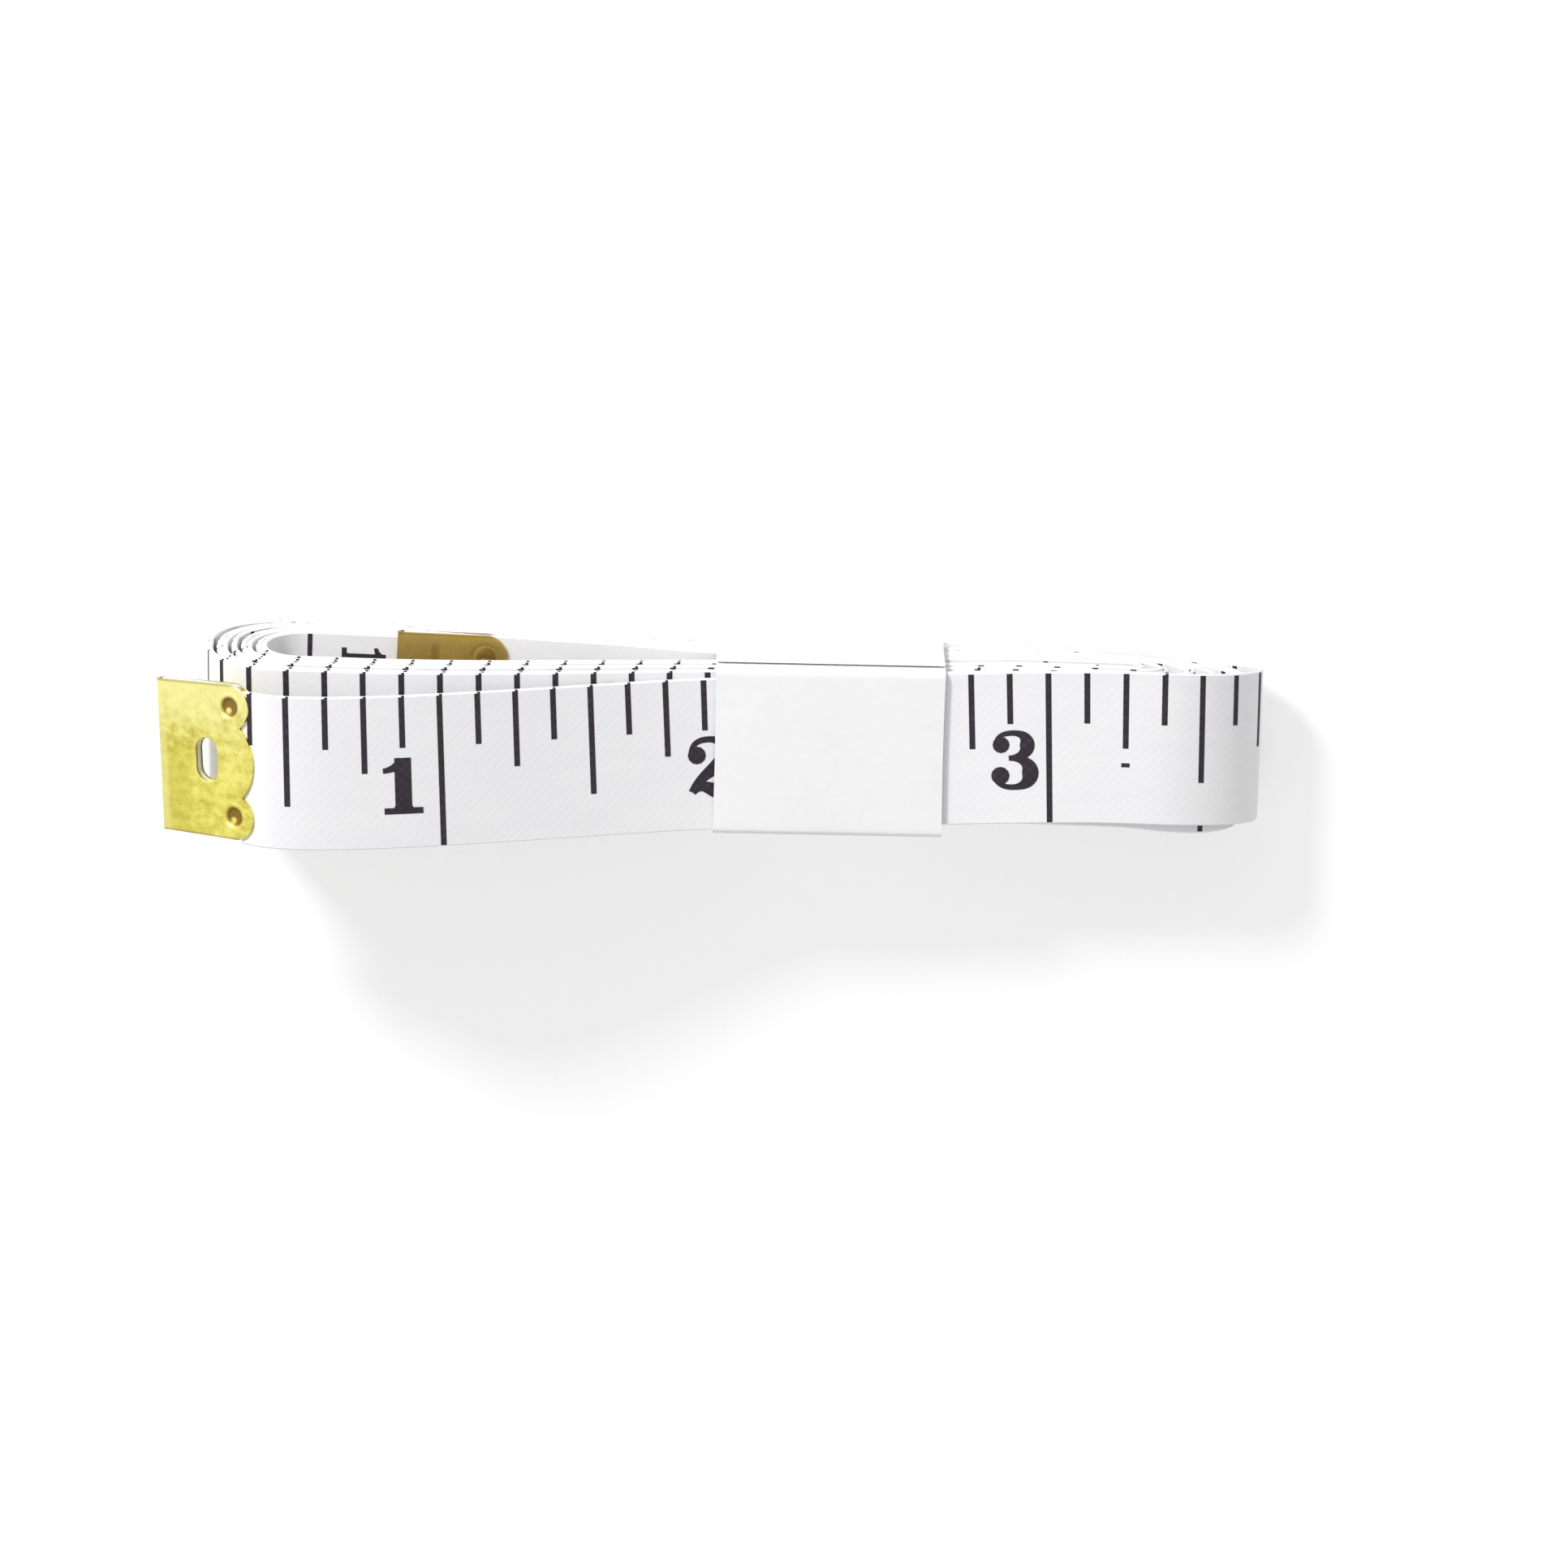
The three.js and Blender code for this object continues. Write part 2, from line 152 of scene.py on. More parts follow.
# The end clips and the tape's ends between their leaves.
CLIP_WIDTH = 13.0
CLIP_LENGTH = 9.64
CLIP_HALF = 0.5
BRASS_SHEET = 0.25
CLIP_SETBACK = 0.55
CLOTH_SEAM = 8.36
CLOTH_INSET = 0.02
CLOTH_SLOT_WIDER = 0.05
CLIP_AIR = 0.3
CLIP_SKEW = -0.052
CLIP_TAPER = 0.03
SIDE_LOBE_RADIUS = 1.9
SIDE_LOBE_REACH = 7.5
MIDDLE_LOBE_RADIUS = 4.1
SLOT_RADIUS = 1.1
SLOT_STRAIGHT = 0.75
SLOT_REACH = 5.0
DIMPLE_PLACE = CLIP_WIDTH / 2 - SIDE_LOBE_RADIUS
DIMPLE_DEPTH = 0.36
DIMPLE_FLOOR = 0.4
DIMPLE_CONE = 0.5
BACK_DIMPLE = 0.3
RIM_HEIGHT = 0.07
RIM_REACH = 1.08
RIM_WIDTH = 0.16
FOLD_LAP = 0.15
FOLD_PROUD = 0.002
FOLD_STEPS = 17
FOLD_END = 0.99
EDGE_SOFT = 0.06
RING_POINTS = 360
TOP_RINGS = 44
UNDER_RINGS = 8

# The paper band. Each row of the flare is how far the lap stands off and how far below its edge.
BAND_LENGTH = 19.1
PAPER = 0.2
BAND_HALF = 7.05
BAND_TOP = 12.0
LAP_HEIGHT = 10.6
LAP_AIR = 0.03
LAP_FLARE = ((0.14, 0.0), (0.05, 1.5), (0.0, 4.0))
INNER_END_STRAIGHT = 5.0
INNER_END_HEIGHT = 1.4
INNER_END_AIR = 0.02
STRIP_STEP = 0.5
BAND_END_AIR = 0.06
BAND_SWELL = 0.07
SWELL_EASE = 0.3
BAND_HAIR = 0.04
HAIR_LENGTH = 3.1
BAND_CREASE = 0.45
BAND_SKEW = 0.05
BAND_TAPER = 0.1

# Where the band's left edge and the tape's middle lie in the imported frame.
BAND_LEFT_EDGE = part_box("paper_band")[0][0]
TAPE_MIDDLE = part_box("tape_coil")[1][1] - TAPE_WIDTH / 2 * MM


def to_frame(points):
    """Millimetres from the band's left edge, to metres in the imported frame."""
    return np.asarray(points, float) * MM + np.array([BAND_LEFT_EDGE, TAPE_MIDDLE, 0.0])


def ease(u):
    """Smooth step: three u squared less two u cubed, with u kept from 0 to 1."""
    u = np.clip(u, 0, 1)
    return u * u * (3 - 2 * u)


def waves(run, rows):
    """Sum of sines along the tape: each row has a height, a length per radian and a start."""
    return sum(height * np.sin(run / length + start) for height, length, start in rows)


def cubic_weights(t):
    """Weights of the four handles of a cubic curve at each t of a column."""
    s = 1 - t
    return np.concatenate([s ** 3, 3 * t * s ** 2, 3 * t * t * s, t ** 3], 1)


def unit_rows(vectors):
    """Vectors, one in a row, each divided by its own length."""
    return vectors / np.linalg.norm(vectors, axis=1)[:, None]


def runs_along(line):
    """Length of a line from its start to each of its points."""
    return np.concatenate([[0], np.cumsum(np.linalg.norm(np.diff(line, axis=0), axis=1))])


# Meshes.


def grid_faces(rows, columns, rows_close=False, columns_close=False):
    """Quads of a grid whose points lie row after row: each joins a point, the next in
    its row, and the two across from them in the next row; a closed side wraps round."""
    i = np.arange(rows if rows_close else rows - 1)[:, None]
    j = np.arange(columns if columns_close else columns - 1)[None, :]
    a = i * columns + j
    b = i * columns + (j + 1) % columns
    c = (i + 1) % rows * columns + (j + 1) % columns
    d = (i + 1) % rows * columns + j
    return np.stack([a, b, c, d], axis=-1).reshape(-1, 4)


def joined(parts):
    """Several (points, faces, uv) parts as one: the faces of each are raised by the
    number of points before it."""
    starts = np.cumsum([0] + [len(p[0]) for p in parts[:-1]])
    points = np.concatenate([p[0] for p in parts])
    faces = np.concatenate([p[1] + s for p, s in zip(parts, starts)])
    uv = np.concatenate([p[2] for p in parts])
    return points, faces, uv


def put_in_scene(name, data):
    """An object that holds the data, linked into the scene."""
    holder = bpy.data.objects.new(name, data)
    bpy.context.scene.collection.objects.link(holder)
    return holder


def mesh_piece(name, points, faces, uv, material, sharp_angle=35):
    """A piece from points in millimetres and quads, with a UV map of the surface's own
    millimetres, smooth but for edges that turn by more than sharp_angle."""
    mesh = bpy.data.meshes.new(name)
    mesh.from_pydata(to_frame(points), [], faces.tolist())
    mesh.uv_layers.new(name="surface")
    corners = np.zeros(len(mesh.loops), dtype=np.int32)
    mesh.loops.foreach_get("vertex_index", corners)
    mesh.uv_layers["surface"].data.foreach_set("uv", uv[corners].astype(np.float32).ravel())
    mesh.polygons.foreach_set("use_smooth", np.ones(len(mesh.polygons), dtype=bool))
    mesh.set_sharp_from_angle(angle=math.radians(sharp_angle))
    mesh.materials.append(material)
    mesh.validate()
    return put_in_scene(name, mesh)


# The tape's path, worked out at stations. Those of the runs keep clear of the bends and loops.

SLOPE_STEP = 0.01
BEND_CLEAR = 1.0
LOOP_CLEAR = 0.6
ARC_STATIONS = 33


def tightness(x):
    """How far the turns are pressed together at x, from 0 just inside the band's left edge to
    1 at its right edge and beyond."""
    return ease((x - TIGHT_START) / TIGHT_LENGTH)


def back_height(x):
    """Height of the innermost back run: eased up from the table into the band, and down
    a little where the turns under it are pressed together."""
    rise = BAND_RISE * ease((x + RISE_LENGTH + BEND_LINE_REACH) / RISE_LENGTH)
    return BACK_LEFT + rise - TIGHT_DROP * tightness(x)


def openness(x):
    """How far the loop is open at x, from 0 inside the band to 1 at the loop."""
    return ease((OPENING_START - x) / (OPENING_START + OPENING_END))


def front_height(x):
    """Height of the innermost front run, from the tight bend to the open loop."""
    closed = BACK_RIGHT + 2 * BEND_RADIUS
    opened = BACK_LEFT + 2 * LOOP_RADIUS
    return closed + (opened - closed) * openness(x) - TIGHT_DROP * tightness(x)


def run_stations(x, height, side, gained, loose):
    """Stations of a run: place (x, height of x), and a normal square to the slope."""
    slope = (height(x + SLOPE_STEP) - height(x - SLOPE_STEP)) / (2 * SLOPE_STEP)
    size = np.hypot(slope, 1)
    same = np.ones_like(x)
    columns = [x, height(x), -side * slope / size, side / size, gained * same, loose * same]
    return np.stack(columns, 1)


def arc_stations(x, z, radius, angle, gained, loose):
    """Stations of a half circle: the centre plus radius times the normal at each angle."""
    nx = np.cos(angle)
    nz = np.sin(angle)
    return np.stack([x + radius * nx, z + radius * nz, nx, nz, gained, loose], 1)


def one_turn():
    """Stations of the innermost turn: back run to the right, tight bend, front run to the
    left, open loop and the start of the next back run. Each row is x, z, the normal, the
    share of a turn that is gained and how loose the turns lie."""
    share = np.linspace(0, 1, ARC_STATIONS)
    right = BEND_REACH - BEND_CLEAR
    left = -LOOP_REACH + LOOP_CLEAR
    back_x = np.concatenate([np.linspace(-INNER_END_REACH, 0, 45), np.linspace(1, right, 28)])
    front_x = np.concatenate([
        np.linspace(right, OPENING_START + 1, 22), np.linspace(OPENING_START, left, 60)])
    tail_x = np.linspace(left, -INNER_END_REACH - LOOP_CLEAR, 6)
    back = run_stations(back_x, back_height, -1, 0, 0)
    bend_z = BACK_RIGHT + BEND_RADIUS - TIGHT_DROP
    bend_angle = np.pi * (share - 0.5)
    bend = arc_stations(BEND_REACH, bend_z, BEND_RADIUS, bend_angle, share / 2, 0 * share)
    front = run_stations(front_x, front_height, 1, 0.5, openness(front_x))
    loop_z = BACK_LEFT + LOOP_RADIUS
    loop_angle = np.pi * (share + 0.5)
    loop = arc_stations(
        -LOOP_REACH, loop_z, LOOP_RADIUS, loop_angle, 0.5 + share / 2, ease(1 - 2 * share))
    tail = run_stations(tail_x, back_height, -1, 1, 0)
    return np.concatenate([back, bend, front, loop, tail])


def wound_path(slack):
    """The wound middle line: the innermost turn repeated, each turn pushed out along its
    normals by the pitch times the turns gained. The bends and loops spread further apart
    along the coil, and the slack of a turn lets its loop and its tight bend reach further. The
    bends are drawn out and sag at the nose, and the loops have a fuller corner on the table.
    The last turn stops on the front, at the bend line."""
    x, z, nx, nz, gained, loose = one_turn().T
    on_front = (gained == 0.5) & (nz > 0)
    turns = np.arange(WHOLE_TURNS + 1)[:, None]
    ramp = ease((x + INNER_END_REACH - CLIP_LENGTH) / INNER_RAMP_LENGTH)
    lift = np.where((turns == 0) & (gained == 0), INNER_LIFT * (1 - ramp), 0)
    pitch = PITCH + (LOOSE_GAP - TURN_GAP) * loose - (PITCH - TIGHT_PITCH) * tightness(x)
    out = CLOTH_FIT * pitch * (turns + gained) - lift
    near_bend = np.maximum(x - OPENING_START, 0) / (BEND_REACH - OPENING_START)
    near_loop = np.maximum(-x - OPENING_START, 0) / (LOOP_REACH - OPENING_START)
    next_loop = turns + (gained > 0)
    bend_spread = BEND_SPREAD * (turns + gained) + (1 - LOOP_SHARE) * slack[turns]
    loop_spread = LOOP_SPREAD * (turns + gained) + LOOP_SHARE * slack[next_loop]
    round_bend = np.where(x >= BEND_REACH, nx, 0)
    px = x + nx * out + bend_spread * near_bend - loop_spread * near_loop
    corner = np.where(x <= -LOOP_REACH, nx * np.minimum(nz, 0), 0)
    px = px + (BEND_STRETCH * round_bend - LOOP_CORNER * corner) * out
    pz = z + (nz - BEND_SAG * round_bend ** 2 - LOOP_CORNER / 2 * corner) * out
    stop = np.argmax(on_front & (x < -BEND_LINE_REACH))
    count = WHOLE_TURNS * len(x) + stop
    return np.stack([px.ravel(), pz.ravel()], 1)[:count]


def free_path(start, before):
    """The free middle line: a cubic curve that leaves the coil along its last direction,
    crests and dips to the clip, then runs straight to the mouth of the clip's fold."""
    away = (start - before) / np.linalg.norm(start - before)
    tip = np.array([-FREE_END_REACH, FREE_END_HEIGHT])
    mouth = tip - DOWN * (CLIP_LENGTH + CLIP_AIR)
    handles = np.stack([start, start + away * LIFT_HANDLE, mouth - DOWN * CREST_HANDLE, mouth])
    weights = cubic_weights(np.linspace(0, 1, 90)[1:, None])
    straight = np.linspace(0, CLIP_LENGTH, 12)[1:, None]
    return np.concatenate([weights @ handles, mouth + straight * DOWN])


def whole_path(slack):
    """The wound and the free middle line for a slack of each turn."""
    wound = wound_path(slack)
    return wound, np.concatenate([wound, free_path(wound[-1], wound[-2])])


def mark_slack():
    """Slack of each turn that brings its marks over those of the turn inside it: half of what
    a turn's length lacks to a whole number of eighths, plus a small step. A turn is measured
    between two crossings of a line across the front runs."""
    _, line = whole_path(np.zeros(WHOLE_TURNS + 2))
    run = runs_along(line)
    crossing = np.flatnonzero((line[:-1, 0] > MARK_LINE) & (line[1:, 0] <= MARK_LINE))
    share = (line[crossing, 0] - MARK_LINE) / (line[crossing, 0] - line[crossing + 1, 0])
    at = run[crossing] + share * (run[crossing + 1] - run[crossing])
    step = np.where(np.arange(WHOLE_TURNS) == WHOLE_TURNS - 1, FREE_STEP, MARK_STEP)
    lack = (step - np.diff(at) + EIGHTH / 2) % EIGHTH - EIGHTH / 2
    return np.concatenate([[0], lack / 2, [0]])


DOWN = np.array([-math.cos(FREE_END_DROOP), -math.sin(FREE_END_DROOP)])
wound_line, tape_line = whole_path(mark_slack())
tape_run = runs_along(tape_line)
TAPE_LENGTH = tape_run[-1] + CLIP_SETBACK
BEND_LINE_RUN = tape_run[len(wound_line) - 1]
tape_tangent = unit_rows(np.gradient(tape_line, tape_run, axis=0))


def sideways_stations():
    """How far the tape's middle lies across at each station. Towards the open loop the turns
    drift up, the back runs more than the front runs, and the inner end furthest. Right of the
    band they lie further up, but lower again at the tight bends, and two slow waves wander a
    little. The outer turn and the free end follow a course of their own, averaged over ten
    millimetres."""
    x = tape_line[:, 0]
    facing_down = tape_tangent[:, 0]
    lean = (LOOP_DRIFT + LOOP_LEAN * facing_down) * ease(-x / LOOP_LEAN_LENGTH)
    lean = lean + TIGHT_LEAN * ease((x - TIGHT_LEAN_START) / TIGHT_LEAN_LENGTH)
    lean = lean + INNER_DRIFT * (1 - ease(tape_run / INNER_DRIFT_LENGTH))
    lean = lean - NOSE_LEAN * ease((x - NOSE_LEAN_START) / NOSE_LEAN_LENGTH)
    wander = waves(tape_run, WANDER_WAVES) * ease(tape_run / WAVE_FADE - WANDER_DELAY)
    past = tape_run - BEND_LINE_RUN
    reach = past[:, None] + np.linspace(-COURSE_BLUR, COURSE_BLUR, 21)
    course = np.interp(reach, COURSE_PLACES, COURSE_DRIFTS).mean(axis=1)
    share = ease((past + COURSE_START) / COURSE_EASE)
    return (lean + wander) * (1 - share) + course * share


tape_side = sideways_stations()

# The marks stand square to the coil on the wound turns. After the last tight bend they turn
# half way with the tape's slanting course, and on the free end they turn with it wholly.
half_slant = ease((tape_run - BEND_LINE_RUN + HALF_SLANT_BEFORE) / HALF_SLANT_LENGTH)
full_slant = ease((tape_run - BEND_LINE_RUN + FULL_SLANT_LENGTH) / FULL_SLANT_LENGTH)
tape_slant = np.gradient(tape_side, tape_run) * (half_slant + full_slant) / 2
INNER_SLANT = -(np.interp(CLIP_LENGTH, tape_run, tape_side) - tape_side[0]) / CLIP_LENGTH


def tape_frame(run):
    """Middle point and outward normal of the tape at each run from its inner end, with a
    slight unevenness of the turns along the normal."""
    x = np.interp(run, tape_run, tape_line[:, 0])
    z = np.interp(run, tape_run, tape_line[:, 1])
    tx = np.interp(run, tape_run, tape_tangent[:, 0])
    tz = np.interp(run, tape_run, tape_tangent[:, 1])
    size = np.hypot(tx, tz)
    nx = tz / size
    nz = -tx / size
    wound = ease(run / WAVE_FADE) * (1 - ease((run - BEND_LINE_RUN + EVEN_LENGTH) / WAVE_FADE))
    wound = wound * (1 - PRESSED_EVEN * tightness(x))
    uneven = wound * waves(run, UNEVEN_WAVES)
    return x + nx * uneven, z + nz * uneven, nx, nz


def on_tape(run, across, rise):
    """Points of the tape at a run from its inner end, a place across it and a rise along
    its outward normal: middle plus normal times rise, plus across times the direction that
    is square to the tape's slanted course. The cloth is pressed thinner at the tight bends."""
    x, z, nx, nz = tape_frame(run)
    rise = rise * (1 - BEND_PRESS * ease((x - PRESS_START) / PRESS_LENGTH))
    back = -across * np.interp(run, tape_run, tape_slant)
    middle = np.interp(run, tape_run, tape_side)
    return np.stack([x + nx * rise - nz * back, middle + across, z + nz * rise + nx * back], -1)


def ribbon(run):
    """The cloth between two runs: a flat section with rounded cut edges, carried along
    the path, closed at both ends."""
    half = TAPE_WIDTH / 2
    skin = CLOTH / 2
    rounded = half - EDGE_ROUND
    inset = half - EDGE_INSET
    across = np.array([-half, -rounded, -inset, 0, inset, rounded, half])
    across = np.concatenate([across, across[::-1]])
    rise = np.array([0.5, 1, 1, 1, 1, 1, 0.5, -0.5, -1, -1, -1, -1, -1, -0.5]) * skin
    points = on_tape(run[:, None], across[None, :], rise[None, :])
    count = len(across)
    faces = grid_faces(len(run), count, columns_close=True)
    cap = np.array([[i, count - 1 - i, count - 2 - i, i + 1] for i in range(count // 2 - 1)])
    last = (len(run) - 1) * count
    faces = np.concatenate([faces, cap, cap[:, ::-1] + last])
    along = TAPE_LENGTH - run[:, None] + 0 * across
    uv = np.stack([along, across + 0 * along], -1).reshape(-1, 2)
    return points.reshape(-1, 3), faces, uv


# The end clips.


def slot_edge(angle, grow=0.0):
    """The slot's rim at each angle: a long hole, so the rays from its centre end on two
    straight sides or on the round ends, worked out as the larger of the two hits."""
    radius = SLOT_RADIUS + grow
    c = np.cos(angle)
    s = np.sin(angle)
    side = radius / np.maximum(np.abs(c), 1e-6)
    on_side = np.abs(side * s) <= SLOT_STRAIGHT
    up = SLOT_STRAIGHT * np.abs(s)
    end = up + np.sqrt(np.maximum(radius ** 2 - SLOT_STRAIGHT ** 2 + up ** 2, 0))
    return np.where(on_side, side, end)


def disc_reach(angle, u, v, radius):
    """Distance from the slot's centre to the far side of a disc at (u, v), or 0 where the
    ray misses it."""
    du = u - SLOT_REACH
    near = du * np.cos(angle) + v * np.sin(angle)
    room = near ** 2 - du ** 2 - v ** 2 + radius ** 2
    return np.where(room > 0, near + np.sqrt(np.maximum(room, 0)), 0)


def box_reach(angle, low, high, half):
    """Distance from the slot's centre to the sides of a box from low to high along the
    tape and half across each way."""
    c = np.cos(angle)
    s = np.sin(angle)
    along = np.where(c > 0, high - SLOT_REACH, SLOT_REACH - low) / np.maximum(np.abs(c), 1e-6)
    return np.minimum(along, half / np.maximum(np.abs(s), 1e-6))


def clip_edge(angle):
    """The clip's outline at each angle: the furthest of a box from the fold, two side
    lobes and a middle lobe."""
    reach = box_reach(angle, CLIP_HALF, SIDE_LOBE_REACH, CLIP_WIDTH / 2)
    middle = disc_reach(angle, CLIP_LENGTH - MIDDLE_LOBE_RADIUS, 0, MIDDLE_LOBE_RADIUS)
    upper = disc_reach(angle, SIDE_LOBE_REACH, DIMPLE_PLACE, SIDE_LOBE_RADIUS)
    lower = disc_reach(angle, SIDE_LOBE_REACH, -DIMPLE_PLACE, SIDE_LOBE_RADIUS)
    return np.maximum(np.maximum(reach, middle), np.maximum(upper, lower))


def tape_end_edge(angle):
    """Outline of the tape's end inside the clip: a plain box."""
    return box_reach(angle, CLIP_SETBACK, CLOTH_SEAM, TAPE_WIDTH / 2 - CLOTH_INSET)


def dimple_drop(u, v):
    """Height change round the two dimples: a cone pressed down to a flat floor, with a
    low rim pushed up round it."""
    upper = np.hypot(u - SIDE_LOBE_REACH, v - DIMPLE_PLACE)
    lower = np.hypot(u - SIDE_LOBE_REACH, v + DIMPLE_PLACE)
    away = np.minimum(upper, lower)
    pit = -DIMPLE_DEPTH * (1 - ease((away - DIMPLE_FLOOR) / DIMPLE_CONE))
    rim = RIM_HEIGHT * np.exp(-(((away - RIM_REACH) / RIM_WIDTH) ** 2))
    return pit + rim


def ring_plate(outline, low, high, grow, shape):
    """A plate with a long hole: rings between the hole's rim and the outline on top, a
    rounded outer edge, rings back underneath and the hole's wall. A point of a ring is
    the rim's reach mixed with the outline's reach at the same angle. shape(u, v) is
    added to the top."""
    corner = math.atan2(CLIP_WIDTH / 2, CLIP_HALF - SLOT_REACH)
    even = np.linspace(-np.pi, np.pi, RING_POINTS + 1)[:-1]
    angle = np.unique(np.concatenate([even, [corner, -corner]]))
    inner = slot_edge(angle, grow)[None, :]
    outer = outline(angle)[None, :]
    top = np.linspace(0, 1, TOP_RINGS)[:, None]
    under = np.linspace(1, 0, UNDER_RINGS)[:, None]
    reach_top = (inner + EDGE_SOFT) * (1 - top) + (outer - EDGE_SOFT) * top
    reach_under = inner * (1 - under) + outer * under
    reach = np.concatenate([inner, reach_top, outer, reach_under])
    u = SLOT_REACH + reach * np.cos(angle)
    v = reach * np.sin(angle)
    edge = [high - EDGE_SOFT]
    level = np.concatenate([edge, np.full(TOP_RINGS, high), edge, np.full(UNDER_RINGS, low)])
    formed = shape(u, v)[1:TOP_RINGS + 1]
    w = level[:, None] + np.concatenate([0 * inner, formed, 0 * inner, 0 * reach_under])
    points = np.stack([u, v, w], -1).reshape(-1, 3)
    faces = grid_faces(len(reach), len(angle), rows_close=True, columns_close=True)
    uv = np.stack([u, v], -1).reshape(-1, 2)
    return points, faces[:, ::-1], uv


def fold_strip():
    """The clip's fold: half a pipe, outside and inside, along the clip's whole width, with a
    short flat over the edge of each leaf. Its UV runs on from both leaves to the fold's middle."""
    bent = np.linspace(np.pi / 2, 1.5 * np.pi, FOLD_STEPS)
    turn = np.concatenate([bent[:1], bent, bent[-1:]])
    count = len(turn)
    angle = np.concatenate([turn, turn[::-1]])[:, None]
    lap = np.zeros((2 * count, 1))
    lap[[0, count - 1, count, -1]] = FOLD_LAP
    outside = np.full(count, CLIP_HALF + FOLD_PROUD)
    inside = np.full(count, CLIP_HALF - BRASS_SHEET - FOLD_PROUD)
    radius = np.concatenate([outside, inside])[:, None]
    v = np.array([-1, -FOLD_END, FOLD_END, 1])[None, :] * CLIP_WIDTH / 2
    u = CLIP_HALF + lap + radius * np.cos(angle) + 0 * v
    w = radius * np.sin(angle) + 0 * v
    points = np.stack([u, v + 0 * u, w], -1).reshape(-1, 3)
    faces = grid_faces(2 * count, 4, rows_close=True)
    lip = np.arange(count - 1)[:, None] * 4
    across = 4 * (2 * count - 1) - lip
    near = np.concatenate([lip, lip + 4, across - 4, across], 1)
    faces = np.concatenate([faces[:, ::-1], near[:, ::-1], near + 3])
    along = CLIP_HALF * (1 + np.abs(angle - np.pi) - np.pi / 2) + lap
    uv = np.stack([along + 0 * v, v + 0 * u], -1).reshape(-1, 2)
    return points, faces, uv


def brass_clip():
    """The folded stamping: a pitted upper leaf, a lower leaf and the fold, a little narrower
    at the fold than at the lobes."""
    inside = CLIP_HALF - BRASS_SHEET
    upper = ring_plate(clip_edge, inside, CLIP_HALF, 0.0, dimple_drop)
    lower = ring_plate(
        clip_edge, inside, CLIP_HALF, 0.0, lambda u, v: -BACK_DIMPLE * dimple_drop(u, v))
    flipped = lower[0] * np.array([1, 1, -1])
    points, faces, uv = joined([upper, (flipped, lower[1][:, ::-1], lower[2]), fold_strip()])
    points[:, 1] *= 1 + CLIP_TAPER * (points[:, 0] / CLIP_LENGTH - 0.5)
    return points, faces, uv


def set_on_end(points, origin, lean, slant):
    """Clip points placed at a tape end: u along the lean, v across and w square to both,
    turned about w by the slant of the tape's course."""
    along = np.array([math.cos(lean), 0, math.sin(lean)])
    square = np.array([-math.sin(lean), 0, math.cos(lean)])
    across = np.array([0, 1, 0])
    return origin + points @ np.stack([along - slant * across, across + slant * along, square])


OUTER_ORIGIN = np.array([-FREE_END_REACH, tape_side[-1], FREE_END_HEIGHT])
INNER_ORIGIN = np.array([-INNER_END_REACH - CLIP_SETBACK, tape_side[0], BACK_LEFT + INNER_LIFT])


def tape_end(origin, lean, slant):
    """The tape's end between the clip's leaves, with the slot cut through it."""
    points, faces, uv = ring_plate(
        tape_end_edge, -CLOTH / 2, CLOTH / 2, CLOTH_SLOT_WIDER,
        lambda u, v: np.minimum(dimple_drop(u, v), 0))
    return set_on_end(points, origin, lean, slant), faces, uv


# The printed scale. The ink spreads, so the numerals come out bolder than drawn.

INK_SPREAD = 1.18
STROKE_LANES = np.linspace(0.5, -0.5, 5)
BALL_POINTS = 12
OVAL_POINTS = 28


def pen_stroke(handles, start_width, end_width, steps=10):
    """A stroke of a numeral: a cubic curve with five lanes of points across the pen's width,
    so that a broad stroke follows a bend. The width eases from start to end."""
    t = np.linspace(0, 1, steps)[:, None]
    s = 1 - t
    h = np.array(handles, float)
    slopes = np.concatenate([-(s ** 2), s ** 2 - 2 * t * s, 2 * t * s - t * t, t * t], 1)
    middle = cubic_weights(t) @ h
    tangent = unit_rows(slopes @ h)
    side = np.stack([-tangent[:, 1], tangent[:, 0]], 1)
    width = INK_SPREAD * (start_width + (end_width - start_width) * ease(t))
    points = middle[:, None] + side[:, None] * (width * STROKE_LANES)[:, :, None]
    return points.reshape(-1, 2), grid_faces(steps, len(STROKE_LANES))


def bar(start, end, start_width, end_width=None):
    """A straight stroke."""
    a = np.array(start, float)
    b = np.array(end, float)
    handles = [a, a + (b - a) / 3, a + (b - a) * 2 / 3, b]
    return pen_stroke(handles, start_width, end_width or start_width, steps=12)


def ball(centre, radius):
    """A round end of a stroke: rings about its centre."""
    turn = np.linspace(0, 2 * np.pi, BALL_POINTS + 1)[:-1]
    rings = np.array([0.02, 0.6, 1.0])[:, None] * radius * INK_SPREAD
    points = np.stack([centre[0] + rings * np.cos(turn), centre[1] + rings * np.sin(turn)], -1)
    return points.reshape(-1, 2), grid_faces(len(rings), BALL_POINTS, columns_close=True)


def oval(centre, half_width, half_height, thin, thick):
    """A closed stroke round an oval, thick at its sides and thin at its top and foot."""
    turn = np.linspace(0, 2 * np.pi, OVAL_POINTS + 1)[:-1, None]
    width = INK_SPREAD * (thin + (thick - thin) * np.cos(turn) ** 2)
    sides = width * STROKE_LANES
    along = centre[0] + (half_width + sides) * np.cos(turn)
    up = centre[1] + (half_height + sides) * np.sin(turn)
    faces = grid_faces(OVAL_POINTS, len(STROKE_LANES), rows_close=True)
    return np.stack([along, up], -1).reshape(-1, 2), faces


def curves(points, widths):
    """Strokes that follow on from each other: every three points after the first give the
    next curve, and the widths are those at the ends of the curves."""
    count = (len(points) - 1) // 3
    return [pen_stroke(points[3 * i:3 * i + 4], widths[i], widths[i + 1]) for i in range(count)]


